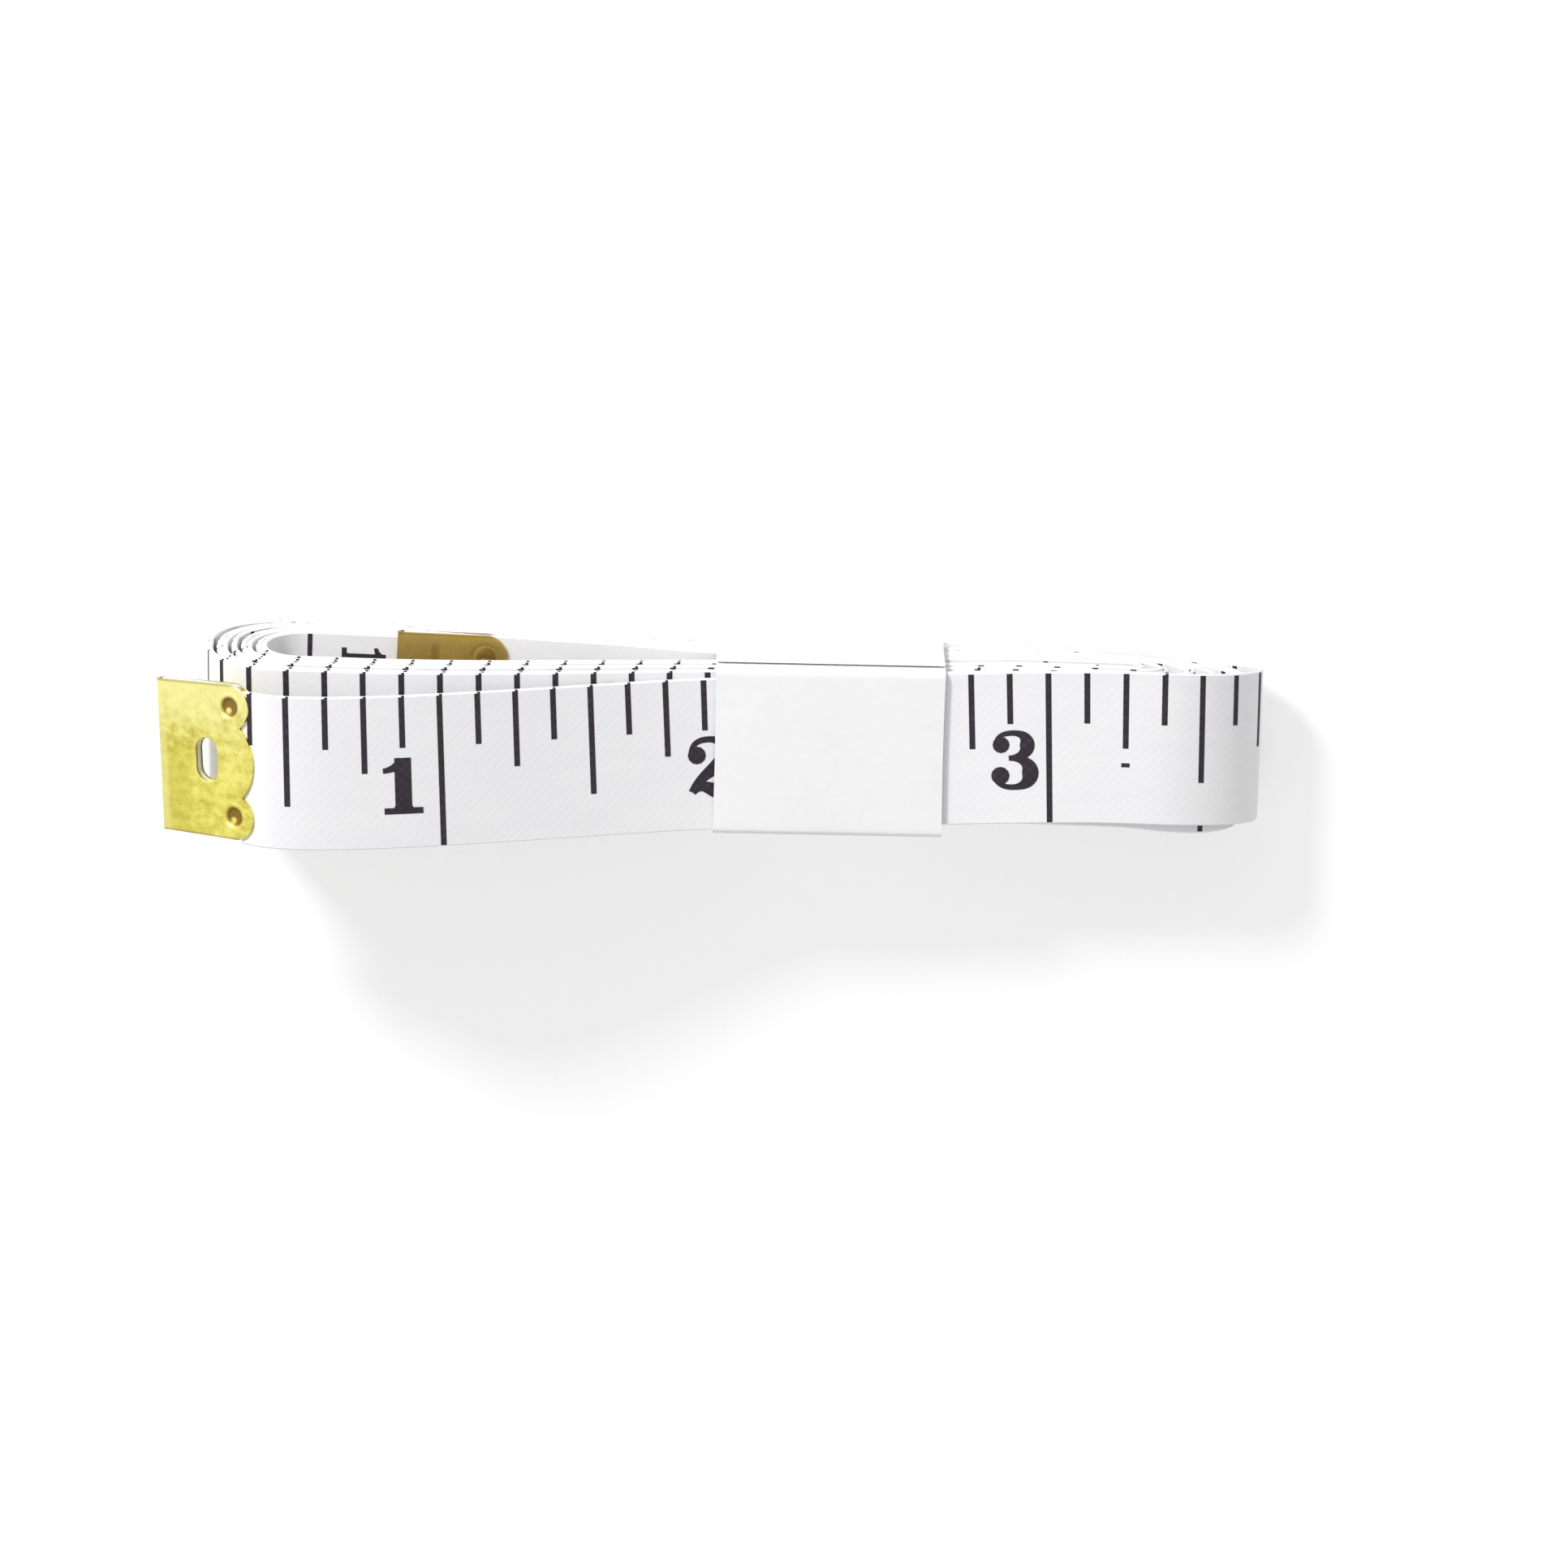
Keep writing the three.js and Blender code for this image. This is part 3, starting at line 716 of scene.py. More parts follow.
# The strokes of each numeral, in shares of its height from its left foot.
SIX = curves(
    [(0.63, 0.82), (0.58, 0.93), (0.50, 0.965), (0.43, 0.965), (0.20, 0.965), (0.13, 0.72),
     (0.13, 0.45), (0.13, 0.18), (0.22, 0.035), (0.40, 0.035), (0.56, 0.035), (0.655, 0.14),
     (0.655, 0.31), (0.655, 0.48), (0.56, 0.58), (0.42, 0.58), (0.28, 0.58), (0.17, 0.50),
     (0.15, 0.38)],
    [0.05, 0.075, 0.23, 0.075, 0.21, 0.075, 0.05]) + [ball((0.575, 0.80), 0.115)]
NUMERALS = {
    "0": [oval((0.39, 0.5), 0.27, 0.465, 0.075, 0.23)],
    "1": [
        bar((0.33, 0.0), (0.33, 0.15), 0.38, 0.235), bar((0.33, 0.14), (0.33, 0.95), 0.235),
        bar((0.01, 0.045), (0.65, 0.045), 0.09)] + curves(
        [(0.33, 0.89), (0.27, 0.83), (0.17, 0.75), (0.00, 0.735)], [0.17, 0.075]),
    "2": curves(
        [(0.085, 0.68), (0.085, 0.90), (0.22, 0.965), (0.40, 0.965), (0.60, 0.965), (0.66, 0.84),
         (0.66, 0.72), (0.66, 0.50), (0.24, 0.40), (0.09, 0.06), (0.28, 0.28), (0.42, 0.04),
         (0.58, 0.075), (0.70, 0.09), (0.75, 0.20), (0.76, 0.34)],
        [0.07, 0.09, 0.25, 0.11, 0.23, 0.08]) + [ball((0.185, 0.695), 0.13)],
    "3": curves(
        [(0.075, 0.76), (0.09, 0.92), (0.22, 0.965), (0.37, 0.965), (0.56, 0.965), (0.61, 0.86),
         (0.61, 0.755), (0.61, 0.62), (0.50, 0.54), (0.30, 0.535), (0.56, 0.54), (0.655, 0.42),
         (0.655, 0.28), (0.655, 0.12), (0.54, 0.035), (0.35, 0.035), (0.20, 0.035), (0.06, 0.10),
         (0.05, 0.24)],
        [0.05, 0.08, 0.21, 0.075, 0.235, 0.08, 0.05]) + [
        ball((0.175, 0.765), 0.12), ball((0.155, 0.235), 0.13)],
    "4": [
        bar((0.54, 0.0), (0.54, 0.98), 0.21), bar((0.32, 0.045), (0.76, 0.045), 0.09),
        bar((0.53, 0.97), (0.06, 0.29), 0.08), bar((0.02, 0.28), (0.80, 0.28), 0.09)],
    "5": [
        bar((0.14, 0.915), (0.64, 0.93), 0.15, 0.12),
        bar((0.17, 0.95), (0.13, 0.52), 0.075)] + curves(
        [(0.13, 0.53), (0.22, 0.62), (0.32, 0.635), (0.40, 0.635), (0.60, 0.635), (0.665, 0.50),
         (0.665, 0.335), (0.665, 0.14), (0.55, 0.035), (0.35, 0.035), (0.20, 0.035), (0.07, 0.09),
         (0.06, 0.22)],
        [0.06, 0.08, 0.225, 0.08, 0.05]) + [ball((0.165, 0.215), 0.12)],
    "6": SIX,
    "7": [
        bar((0.06, 0.905), (0.74, 0.92), 0.16, 0.14),
        bar((0.08, 0.97), (0.06, 0.66), 0.07)] + curves(
        [(0.72, 0.90), (0.60, 0.66), (0.37, 0.42), (0.36, 0.0)], [0.09, 0.23]),
    "8": [
        oval((0.39, 0.755), 0.225, 0.205, 0.075, 0.19),
        oval((0.39, 0.285), 0.265, 0.25, 0.075, 0.215)],
    "9": [(np.array([0.78, 1.0]) - p, f) for p, f in SIX],
}
NUMERAL_STEP = 0.84
STROKE_RISE = 0.002


def figures(text, height):
    """A whole number as flat points, quads and a level of each point, its right foot at
    (0, 0): numerals side by side at an even step, and each stroke a hair over the last."""
    points = []
    faces = []
    levels = []
    count = 0
    for place, digit in enumerate(text):
        left = (place - len(text)) * NUMERAL_STEP
        for stroke, quads in NUMERALS[digit]:
            points.append((stroke + np.array([left, 0])) * height)
            levels.append(np.full(len(stroke), STROKE_RISE * len(faces)))
            faces.append(quads + count)
            count += len(stroke)
    return np.concatenate(points), np.concatenate(faces), np.concatenate(levels)


# The ink of both scales.
INK_FILM = 0.022
INK_RISE = CLOTH / 2 + INK_FILM
PRINT_SKEW = 0.02
PRINT_HALF = TAPE_WIDTH / 2 - EDGE_ROUND

# The inch scale on the outer face.
EIGHTH_MARK = 4.3
QUARTER_MARK = 6.4
HALF_MARK = 9.2
INCH_MARK = 2 * PRINT_HALF
INCH_SCALE_LINE = 0.48
INCH_FIGURE = 5.0
INCH_FIGURE_GAP = 0.65
INCH_FIGURE_FOOT = -3.5
OVER_EDGE_LINE = 0.26
OVER_EDGE_PROUD = 0.012
OVER_EDGE_EVERY = 9
SPECK_EIGHTH = 26
SPECK_TOP = -1.25
SPECK_LENGTH = 0.36
SPECK_WIDTH = 0.7

# The centimetre scale on the inner face: the spacing, length and width of each row of marks.
CENTIMETRES = 150
CENTIMETRE_ROWS = ((10, 12.8, 0.42), (5, 5.0, 0.36), (1, 3.0, 0.3))
CENTIMETRE_FIGURE = 3.9
CENTIMETRE_FIGURE_GAP = 2.75
CENTIMETRE_FIGURE_TOP = 5.35
CENTIMETRE_FIGURE_NARROW = 0.7


def printed(run, across, faces, side, level=0.0):
    """Ink on the tape: points at a run and across, just off the outer (1) or inner (-1)
    skin by their level, printed a little askew. The quads keep their outside away from the
    cloth."""
    points = on_tape(run + PRINT_SKEW * across, across, side * (INK_RISE + level))
    flat = np.stack([run, across], -1)
    first = flat[faces[:, 1]] - flat[faces[:, 0]]
    last = flat[faces[:, 3]] - flat[faces[:, 0]]
    back = (first[:, 0] * last[:, 1] - first[:, 1] * last[:, 0]) * side > 0
    faces = np.where(back[:, None], faces[:, ::-1], faces)
    uv = np.stack([TAPE_LENGTH - run, across], -1)
    return points, faces, uv


def line_marks(run, start, length, width, side):
    """Marks across the tape: at each run a strip as wide as the line, from a start across
    the tape to its end, in three steps along the tape so that it follows a bend."""
    step = np.array([-0.5, 0, 0.5])[None, :, None] * width
    along = run[:, None, None] + step + np.zeros((1, 1, 2))
    ends = np.stack([start + 0 * length, start - length], -1)[:, None, :]
    across = ends + np.zeros((1, 3, 1))
    faces = grid_faces(3, 2)[None] + 6 * np.arange(len(run))[:, None, None]
    return printed(along.ravel(), across.ravel(), faces.reshape(-1, 4), side)


def edge_marks(run, width):
    """Ink carried over the tape's upper rounded edge at each mark: a strip as wide as the
    line from the outer skin to the end of the rounding."""
    step = np.array([-0.5, 0.5])[None, :, None] * width
    along = (run[:, None, None] + step + np.zeros((1, 1, 2))).ravel()
    across = np.tile(np.array([-EDGE_ROUND, OVER_EDGE_PROUD]) + TAPE_WIDTH / 2, 2 * len(run))
    rise = np.tile(np.array([INK_RISE, CLOTH / 4]), 2 * len(run))
    faces = grid_faces(2, 2)[None] + 4 * np.arange(len(run))[:, None, None]
    uv = np.stack([TAPE_LENGTH - along, across], -1)
    return on_tape(along, across, rise), faces.reshape(-1, 4), uv


def inch_print(low, high):
    """The inch scale on the outer face between two runs: eighth marks from the upper edge,
    longer at quarters, halves and inches, and upright numerals left of their inch. Left of the
    band, and now and then elsewhere, the ink runs over the edge, and one mark has left a speck
    of ink below it."""
    eighth = np.arange(1, int(TAPE_LENGTH / EIGHTH))
    run = TAPE_LENGTH - eighth * EIGHTH
    inside = (run > low) & (run < high)
    eighth = eighth[inside]
    run = run[inside]
    length = np.where(eighth % 2 == 0, QUARTER_MARK, EIGHTH_MARK)
    length = np.where(eighth % 4 == 0, HALF_MARK, length)
    length = np.where(eighth % 8 == 0, INCH_MARK, length)
    over_edge = (tape_frame(run)[0] < -BEND_LINE_REACH) | (eighth % OVER_EDGE_EVERY == 0)
    speck = run[eighth == SPECK_EIGHTH]
    marks = [
        line_marks(run, PRINT_HALF, length, INCH_SCALE_LINE, 1),
        edge_marks(run[over_edge], OVER_EDGE_LINE),
        line_marks(speck, SPECK_TOP, SPECK_LENGTH + 0 * speck, SPECK_WIDTH, 1)]
    for inch in range(1, int(TAPE_LENGTH / INCH) + 1):
        flat, quads, level = figures(str(inch), INCH_FIGURE)
        place = TAPE_LENGTH - inch * INCH + INCH_FIGURE_GAP - flat[:, 0]
        if low < place.max() < high and place.min() > CLIP_LENGTH:
            marks.append(printed(place, flat[:, 1] + INCH_FIGURE_FOOT, quads, 1, level))
    return joined(marks)


def centimetre_print(low, high):
    """The centimetre scale on the inner face between two runs, from the outer end to a blank
    length before the inner clip: full lines at centimetres, short marks from the lower edge
    between, and narrow numerals that read across the tape from its upper edge."""
    marks = []
    for every, length, width in CENTIMETRE_ROWS:
        run = TAPE_LENGTH - np.arange(every, 10 * CENTIMETRES, every)
        run = run[(run > low) & (run < high)]
        marks.append(line_marks(run, length - PRINT_HALF, length + 0 * run, width, -1))
    for centimetre in range(1, CENTIMETRES + 1):
        flat, quads, level = figures(str(centimetre), CENTIMETRE_FIGURE)
        place = TAPE_LENGTH - 10 * centimetre + CENTIMETRE_FIGURE_GAP + flat[:, 1]
        down = CENTIMETRE_FIGURE_NARROW * (flat[:, 0] - flat[:, 0].min())
        if low < place.min() and place.max() < high:
            marks.append(printed(place, CENTIMETRE_FIGURE_TOP - down, quads, -1, level))
    return joined(marks)


# The paper band.


def band_strip():
    """The paper strip's middle line round the coil, seen along it: down the upper side as
    the outer lap, under the coil, up the lower side, over the top and down inside the lap.
    Corners are quarter circles, and the lap flares at its edge. Returns points (across, up)
    and the run along the strip of each."""
    half = BAND_HALF
    r = BAND_CREASE
    quarter = np.linspace(0, np.pi / 2, 7)
    lap = half + PAPER + LAP_AIR
    corners = [
        (lap - r, PAPER / 2 + r, -quarter),
        (-half + r, PAPER / 2 + r, -np.pi / 2 - quarter),
        (-half + r, BAND_TOP - r, np.pi - quarter),
        (half - r, BAND_TOP - r, np.pi / 2 - quarter)]
    line = [np.array([[lap + off, LAP_HEIGHT - below] for off, below in LAP_FLARE])]
    for y, z, turn in corners:
        line.append(np.stack([y + r * np.cos(turn), z + r * np.sin(turn)], 1))
    inner_end = [half - INNER_END_AIR, INNER_END_HEIGHT]
    line.append(np.array([[half, LAP_HEIGHT], [half, INNER_END_STRAIGHT], inner_end]))
    line = np.concatenate(line)
    run = runs_along(line)
    finer = np.unique(np.concatenate([run, np.arange(0, run[-1], STRIP_STEP)]))
    return np.stack([np.interp(finer, run, column) for column in line.T], 1), finer


def paper_band():
    """The band: its strip's line carried along the coil, with two skins a paper apart. The
    top swells a little between the creases, the cut ends wander by a hair, the height falls
    with the coil towards the right, and the underside sits a little further left."""
    line, run = band_strip()
    tangent = unit_rows(np.gradient(line, run, axis=0))
    normal = np.stack([-tangent[:, 1], tangent[:, 0]], 1)
    along = np.linspace(0, 1, 25)[None, :]
    on_top = ease((line[:, 1] - BAND_TOP + SWELL_EASE) / SWELL_EASE)
    flat_top = on_top * (1 - (line[:, 0] / BAND_HALF) ** 2)
    swell = BAND_SWELL * np.clip(flat_top, 0, 1)[:, None] * np.sin(np.pi * along) ** 0.5
    hair = BAND_HAIR * np.sin(run / HAIR_LENGTH)[:, None] * (1 - 2 * along)
    askew = BAND_SKEW * (line[:, 1:] - BAND_TOP)
    x = BAND_END_AIR + along * (BAND_LENGTH - 2 * BAND_END_AIR) + hair + askew
    skins = []
    for offset in (PAPER / 2, -PAPER / 2):
        y = line[:, :1] - normal[:, :1] * offset + 0 * along
        z = (line[:, 1:] - normal[:, 1:] * offset + swell) * (1 - BAND_TAPER * along)
        skins.append(np.stack([x, y, z], -1))
    rows, columns = x.shape
    outside = grid_faces(rows, columns)
    inside = outside[:, ::-1] + rows * columns
    index = np.arange(rows * columns).reshape(rows, columns)
    rim = np.concatenate([index[0, :], index[1:, -1], index[-1, -2::-1], index[-2:0:-1, 0]])
    after = np.roll(rim, -1)
    sides = np.stack([after, rim, rim + rows * columns, after + rows * columns], 1)
    points = np.concatenate([s.reshape(-1, 3) for s in skins])
    uv = np.stack([x, run[:, None] + 0 * x], -1).reshape(-1, 2)
    return points, np.concatenate([outside, inside, sides]), np.concatenate([uv, uv]), run[-1]


# Finishes. Their vectors are the surfaces' own millimetres, and a relief's depth is in metres.

THREAD_SPACING = 0.42
COARSE_PART = 0.55
FINE_PART = 0.45
FINER = 7.3
RELIEF_DEPTH = 0.00003


def new_group(name, inputs, outputs):
    """A shader node group with named float, vector or colour sockets."""
    group = bpy.data.node_groups.new(name, "ShaderNodeTree")
    for socket, kind, value in inputs:
        made = group.interface.new_socket(socket, in_out="INPUT", socket_type=kind)
        if value is not None:
            made.default_value = value
    for socket, kind in outputs:
        group.interface.new_socket(socket, in_out="OUTPUT", socket_type=kind)
    return group, group.nodes.new("NodeGroupInput"), group.nodes.new("NodeGroupOutput")


def node(tree, kind, links=(), **settings):
    """A node with its settings, and each (socket, source) linked or set as a value."""
    made = tree.nodes.new(kind)
    for name, value in settings.items():
        setattr(made, name, value)
    for socket, source in links:
        if isinstance(source, bpy.types.NodeSocket):
            tree.links.new(source, made.inputs[socket])
        else:
            made.inputs[socket].default_value = source
    return made


def maths(tree, operation, *values):
    """The outcome of a Math node on one to three sockets or numbers."""
    return node(tree, "ShaderNodeMath", enumerate(values), operation=operation).outputs[0]


def noise(tree, vector, scale, detail):
    """A noise at a place, with its number of swells in a unit and its layers of detail."""
    links = [("Vector", vector), ("Scale", scale), ("Detail", detail)]
    return node(tree, "ShaderNodeTexNoise", links).outputs[0]


def thread_group():
    """Woven threads: the product of a sine along the tape and one across it, a smooth
    chequer of raised and sunk crossings, with a slow noise that varies their height."""
    group, start, end = new_group(
        "woven_threads",
        [("Vector", "NodeSocketVector", None), ("Spacing", "NodeSocketFloat", THREAD_SPACING)],
        [("Height", "NodeSocketFloat")])
    place = start.outputs["Vector"]
    apart = node(group, "ShaderNodeSeparateXYZ", [(0, place)])
    rate = maths(group, "DIVIDE", math.pi, start.outputs["Spacing"])
    warp = maths(group, "SINE", maths(group, "MULTIPLY", apart.outputs[0], rate))
    weft = maths(group, "SINE", maths(group, "MULTIPLY", apart.outputs[1], rate))
    crossing = maths(group, "MULTIPLY", warp, weft)
    uneven = maths(group, "MULTIPLY_ADD", noise(group, place, 0.9, 3.0), 1.2, 0.5)
    varied = maths(group, "MULTIPLY", crossing, uneven)
    group.links.new(maths(group, "MULTIPLY_ADD", varied, 0.5, 0.5), end.inputs["Height"])
    return group


def cloud_group():
    """Soft clouding: a coarse noise and a fine one, mixed and stretched to 0 to 1."""
    group, start, end = new_group(
        "soft_clouding",
        [("Vector", "NodeSocketVector", None), ("Size", "NodeSocketFloat", 4.0)],
        [("Value", "NodeSocketFloat")])
    place = start.outputs["Vector"]
    scale = maths(group, "DIVIDE", 1.0, start.outputs["Size"])
    coarse = maths(group, "MULTIPLY", noise(group, place, scale, 4.0), COARSE_PART)
    fine = noise(group, place, maths(group, "MULTIPLY", scale, FINER), 5.0)
    both = maths(group, "MULTIPLY_ADD", fine, FINE_PART, coarse)
    links = [("Value", both), ("From Min", 0.32), ("From Max", 0.68)]
    spread = node(group, "ShaderNodeMapRange", links)
    group.links.new(spread.outputs[0], end.inputs["Value"])
    return group


woven_threads = thread_group()
soft_clouding = cloud_group()


def placed(tree, group, **values):
    """A node group placed in a material with its own values and links."""
    return node(tree, "ShaderNodeGroup", values.items(), node_tree=group).outputs[0]


def new_material(name):
    """An empty material with its Principled shader and the piece's own UV map."""
    material = bpy.data.materials.new(name)
    material.use_nodes = True
    tree = material.node_tree
    shader = tree.nodes["Principled BSDF"]
    surface = node(tree, "ShaderNodeUVMap", uv_map="surface").outputs[0]
    return material, tree, shader, surface


def mixed(tree, share, first, second):
    """Colour between two sockets or colours by a share. A Mix node takes its colours at sockets
    6 and 7 and gives the outcome at socket 2."""
    links = [("Factor", share)]
    for socket, colour in ((6, first), (7, second)):
        is_socket = isinstance(colour, bpy.types.NodeSocket)
        links.append((socket, colour if is_socket else (*colour, 1)))
    return node(tree, "ShaderNodeMix", links, data_type="RGBA").outputs[2]


def ranged(tree, value, low, high):
    """A value from 0 to 1, stretched to run from low to high."""
    links = [("Value", value), ("To Min", low), ("To Max", high)]
    return node(tree, "ShaderNodeMapRange", links).outputs[0]


def smooth_mask(tree, value, none, full):
    """0 where the value is at none and 1 where it is at full, eased between."""
    links = [("Value", value), ("From Min", none), ("From Max", full)]
    return node(tree, "ShaderNodeMapRange", links, interpolation_type="SMOOTHSTEP").outputs[0]


def halves(tree, first, second):
    """Half of one value and half of another."""
    return maths(tree, "MULTIPLY_ADD", first, 0.5, maths(tree, "MULTIPLY", second, 0.5))


def dressed(tree, shader, colour, roughness, height, strength):
    """Links a colour, a roughness and a relief of some height and strength to a shader."""
    links = [("Height", height), ("Strength", strength), ("Distance", RELIEF_DEPTH)]
    relief = node(tree, "ShaderNodeBump", links).outputs[0]
    for socket, source in (("Base Color", colour), ("Roughness", roughness), ("Normal", relief)):
        tree.links.new(source, shader.inputs[socket])


def coated_cloth():
    """White coated cloth: threads show through the coating, which is clouded in long faint
    streaks along the tape and varies in gloss."""
    material, tree, shader, surface = new_material("coated_cloth")
    threads = placed(tree, woven_threads, Vector=surface, Spacing=THREAD_SPACING)
    drawn = node(tree, "ShaderNodeMapping", [("Vector", surface), ("Scale", (0.12, 1.0, 1.0))])
    streak = placed(tree, soft_clouding, Vector=drawn.outputs[0], Size=1.6)
    cloud = placed(tree, soft_clouding, Vector=surface, Size=7.0)
    both = halves(tree, streak, cloud)
    colour = mixed(tree, both, (0.845, 0.845, 0.865), (0.90, 0.90, 0.905))
    dressed(tree, shader, colour, ranged(tree, both, 0.64, 0.48), threads, 0.22)
    shader.inputs["Specular IOR Level"].default_value = 0.35
    shader.inputs["Sheen Weight"].default_value = 0.06
    shader.inputs["Sheen Roughness"].default_value = 0.5
    return material


def scale_ink():
    """Dark violet-black ink: a little thinner on the threads' crowns and in clouds."""
    material, tree, shader, surface = new_material("scale_ink")
    threads = placed(tree, woven_threads, Vector=surface, Spacing=THREAD_SPACING)
    cloud = placed(tree, soft_clouding, Vector=surface, Size=1.2)
    thin = maths(tree, "MULTIPLY", threads, cloud)
    colour = mixed(tree, thin, (0.020, 0.015, 0.022), (0.048, 0.037, 0.050))
    dressed(tree, shader, colour, ranged(tree, cloud, 0.72, 0.55), threads, 0.2)
    shader.inputs["Specular IOR Level"].default_value = 0.3
    return material


def away_from(tree, surface, u, v):
    """Distance on the flat leaf from a place beside a pit, given from the pit's middle, or from
    the same place at the other pit, whichever is nearer."""
    reaches = []
    for middle in (DIMPLE_PLACE, -DIMPLE_PLACE):
        links = [(0, surface), (1, (SIDE_LOBE_REACH + u, middle + v, 0))]
        apart = node(tree, "ShaderNodeVectorMath", links, operation="DISTANCE")
        reaches.append(apart.outputs["Value"])
    return maths(tree, "MINIMUM", *reaches)


def rolled_brass(name, dull, bright, highlight_tone, grime_and_shade, streak):
    """Rolled brass: blotches and finer clouds between a dull and a bright tone, with painted shade
    that makes it duller low down beside the fold, and a painted highlight that makes it paler
    towards the upper edge and along the fold. It is dull on the cut edges, has a darker streak,
    and has rough brown grime with painted shade in the pits, set off centre into a crescent, that
    leaves a lighter spot as a painted highlight. The masks' limits are places on the flat leaf,
    along it from the fold and across it from its middle."""
    material, tree, shader, surface = new_material(name)
    broad = placed(tree, soft_clouding, Vector=surface, Size=5.0)
    slope = (0, 0, math.radians(-24))
    links = [("Vector", surface), ("Rotation", slope), ("Scale", (0.6, 1.3, 1))]
    drawn = node(tree, "ShaderNodeMapping", links).outputs[0]
    blotch = placed(tree, soft_clouding, Vector=drawn, Size=1.1)
    tone = smooth_mask(tree, halves(tree, blotch, broad), 0.22, 0.78)
    apart = node(tree, "ShaderNodeSeparateXYZ", [(0, surface)])
    along = apart.outputs[0]
    across = apart.outputs[1]
    off_middle = maths(tree, "ABSOLUTE", across)

    # Painted shade: duller low down beside the fold.
    by_fold = smooth_mask(tree, along, 4.2, 2.0)
    lower = smooth_mask(tree, across, 2.5, -1.5)
    low_shade = maths(tree, "MULTIPLY", maths(tree, "MULTIPLY", by_fold, lower), 0.45)
    toned = mixed(tree, low_shade, mixed(tree, tone, dull, bright), dull)

    # Painted highlight: paler along the fold and towards the upper edge, where the metal catches
    # the light.
    fold_highlight = maths(tree, "MULTIPLY", smooth_mask(tree, along, 1.2, 0.7), 0.4)
    clouded_height = maths(tree, "MULTIPLY_ADD", broad, 5.0, across)
    upper = maths(tree, "MULTIPLY", smooth_mask(tree, clouded_height, 2.0, 9.0), 0.75)
    metal = mixed(tree, maths(tree, "MAXIMUM", fold_highlight, upper), toned, highlight_tone)

    # Grime and painted shade in the pits, set off centre towards the upper right into a shaded
    # crescent, leaving a lighter spot that is a painted highlight.
    in_pit = smooth_mask(tree, away_from(tree, surface, 0.08, 0.08), 1.0, 0.7)
    off_highlight_spot = smooth_mask(tree, away_from(tree, surface, -0.16, -0.3), 0.14, 0.38)
    pit_grime_and_shade = maths(tree, "MULTIPLY", maths(tree, "MULTIPLY", in_pit, off_highlight_spot), 0.92)
    cut_edge = maths(tree, "MULTIPLY", smooth_mask(tree, off_middle, 6.28, 6.42), 0.5)
    off_streak = maths(tree, "ABSOLUTE", maths(tree, "SUBTRACT", along, 3.3))
    in_streak = smooth_mask(tree, off_streak, 0.5, 0.15)
    on_streak = maths(tree, "MULTIPLY", in_streak, smooth_mask(tree, off_middle, 6.1, 5.2))
    streaked = maths(tree, "MAXIMUM", cut_edge, maths(tree, "MULTIPLY", on_streak, streak))
    darkening = maths(tree, "MAXIMUM", pit_grime_and_shade, streaked)

    colour = mixed(tree, darkening, metal, grime_and_shade)
    rough = maths(tree, "MULTIPLY_ADD", in_pit, 0.3, ranged(tree, tone, 0.44, 0.32))
    dressed(tree, shader, colour, rough, tone, 0.25)
    shader.inputs["Metallic"].default_value = 1.0
    return material


def plain_paper():
    """Matt white paper: fine fibres in the surface and faint clouding in its body."""
    material, tree, shader, surface = new_material("plain_paper")
    cloud = placed(tree, soft_clouding, Vector=surface, Size=6.0)
    fibre = placed(tree, soft_clouding, Vector=surface, Size=0.5)
    colour = mixed(tree, cloud, (0.88, 0.88, 0.89), (0.92, 0.92, 0.925))
    dressed(tree, shader, colour, ranged(tree, fibre, 0.95, 0.8), fibre, 0.15)
    shader.inputs["Specular IOR Level"].default_value = 0.25
    return material


cloth_finish = coated_cloth()
ink_finish = scale_ink()
brass_finish = rolled_brass(
    "bright_brass", dull=(0.57, 0.49, 0.07), bright=(0.91, 0.84, 0.21), highlight_tone=(0.98, 0.94, 0.42),
    grime_and_shade=(0.24, 0.135, 0.03), streak=0.0)
# The inner clip gets a darker copy of the same brass: painted shade for the shadow it lies in
# inside the loop.
shaded_brass_finish = rolled_brass(
    "shaded_brass", dull=(0.44, 0.30, 0.065), bright=(0.70, 0.52, 0.14),
    highlight_tone=(0.56, 0.40, 0.12), grime_and_shade=(0.22, 0.13, 0.03), streak=0.4)
paper_finish = plain_paper()

# The pieces. The cloth is cut at the seams to its ends, and the inch print runs under the clip.

INCHES_UNDER_CLIP = 0.6
inner_seam = CLOTH_SEAM - CLIP_SETBACK
outer_seam = tape_run[-1] - CLOTH_SEAM + CLIP_AIR
clip_start = tape_run[-1] - CLIP_LENGTH + CLIP_SETBACK
wound_runs = tape_run[(tape_run > inner_seam) & (tape_run <= BEND_LINE_RUN)]
wound_runs = np.concatenate([[inner_seam], wound_runs])
free_runs = tape_run[(tape_run >= BEND_LINE_RUN) & (tape_run < outer_seam)]
free_runs = np.concatenate([free_runs, [outer_seam]])

wound_cloth = joined([ribbon(wound_runs), tape_end(INNER_ORIGIN, 0, INNER_SLANT)])
tape_wound = mesh_piece("tape_wound", *wound_cloth, cloth_finish)
free_cloth = joined([ribbon(free_runs), tape_end(OUTER_ORIGIN, FREE_END_DROOP, CLIP_SKEW)])
tape_free = mesh_piece("tape_free", *free_cloth, cloth_finish)
wound_inches = mesh_piece(
    "tape_wound_inches", *inch_print(CLIP_LENGTH, BEND_LINE_RUN), ink_finish)
wound_centimetres = mesh_piece(
    "tape_wound_centimetres", *centimetre_print(CLIP_LENGTH, BEND_LINE_RUN), ink_finish)
free_inches = mesh_piece(
    "tape_free_inches", *inch_print(BEND_LINE_RUN, clip_start + INCHES_UNDER_CLIP), ink_finish)
free_centimetres = mesh_piece(
    "tape_free_centimetres", *centimetre_print(BEND_LINE_RUN, clip_start), ink_finish)

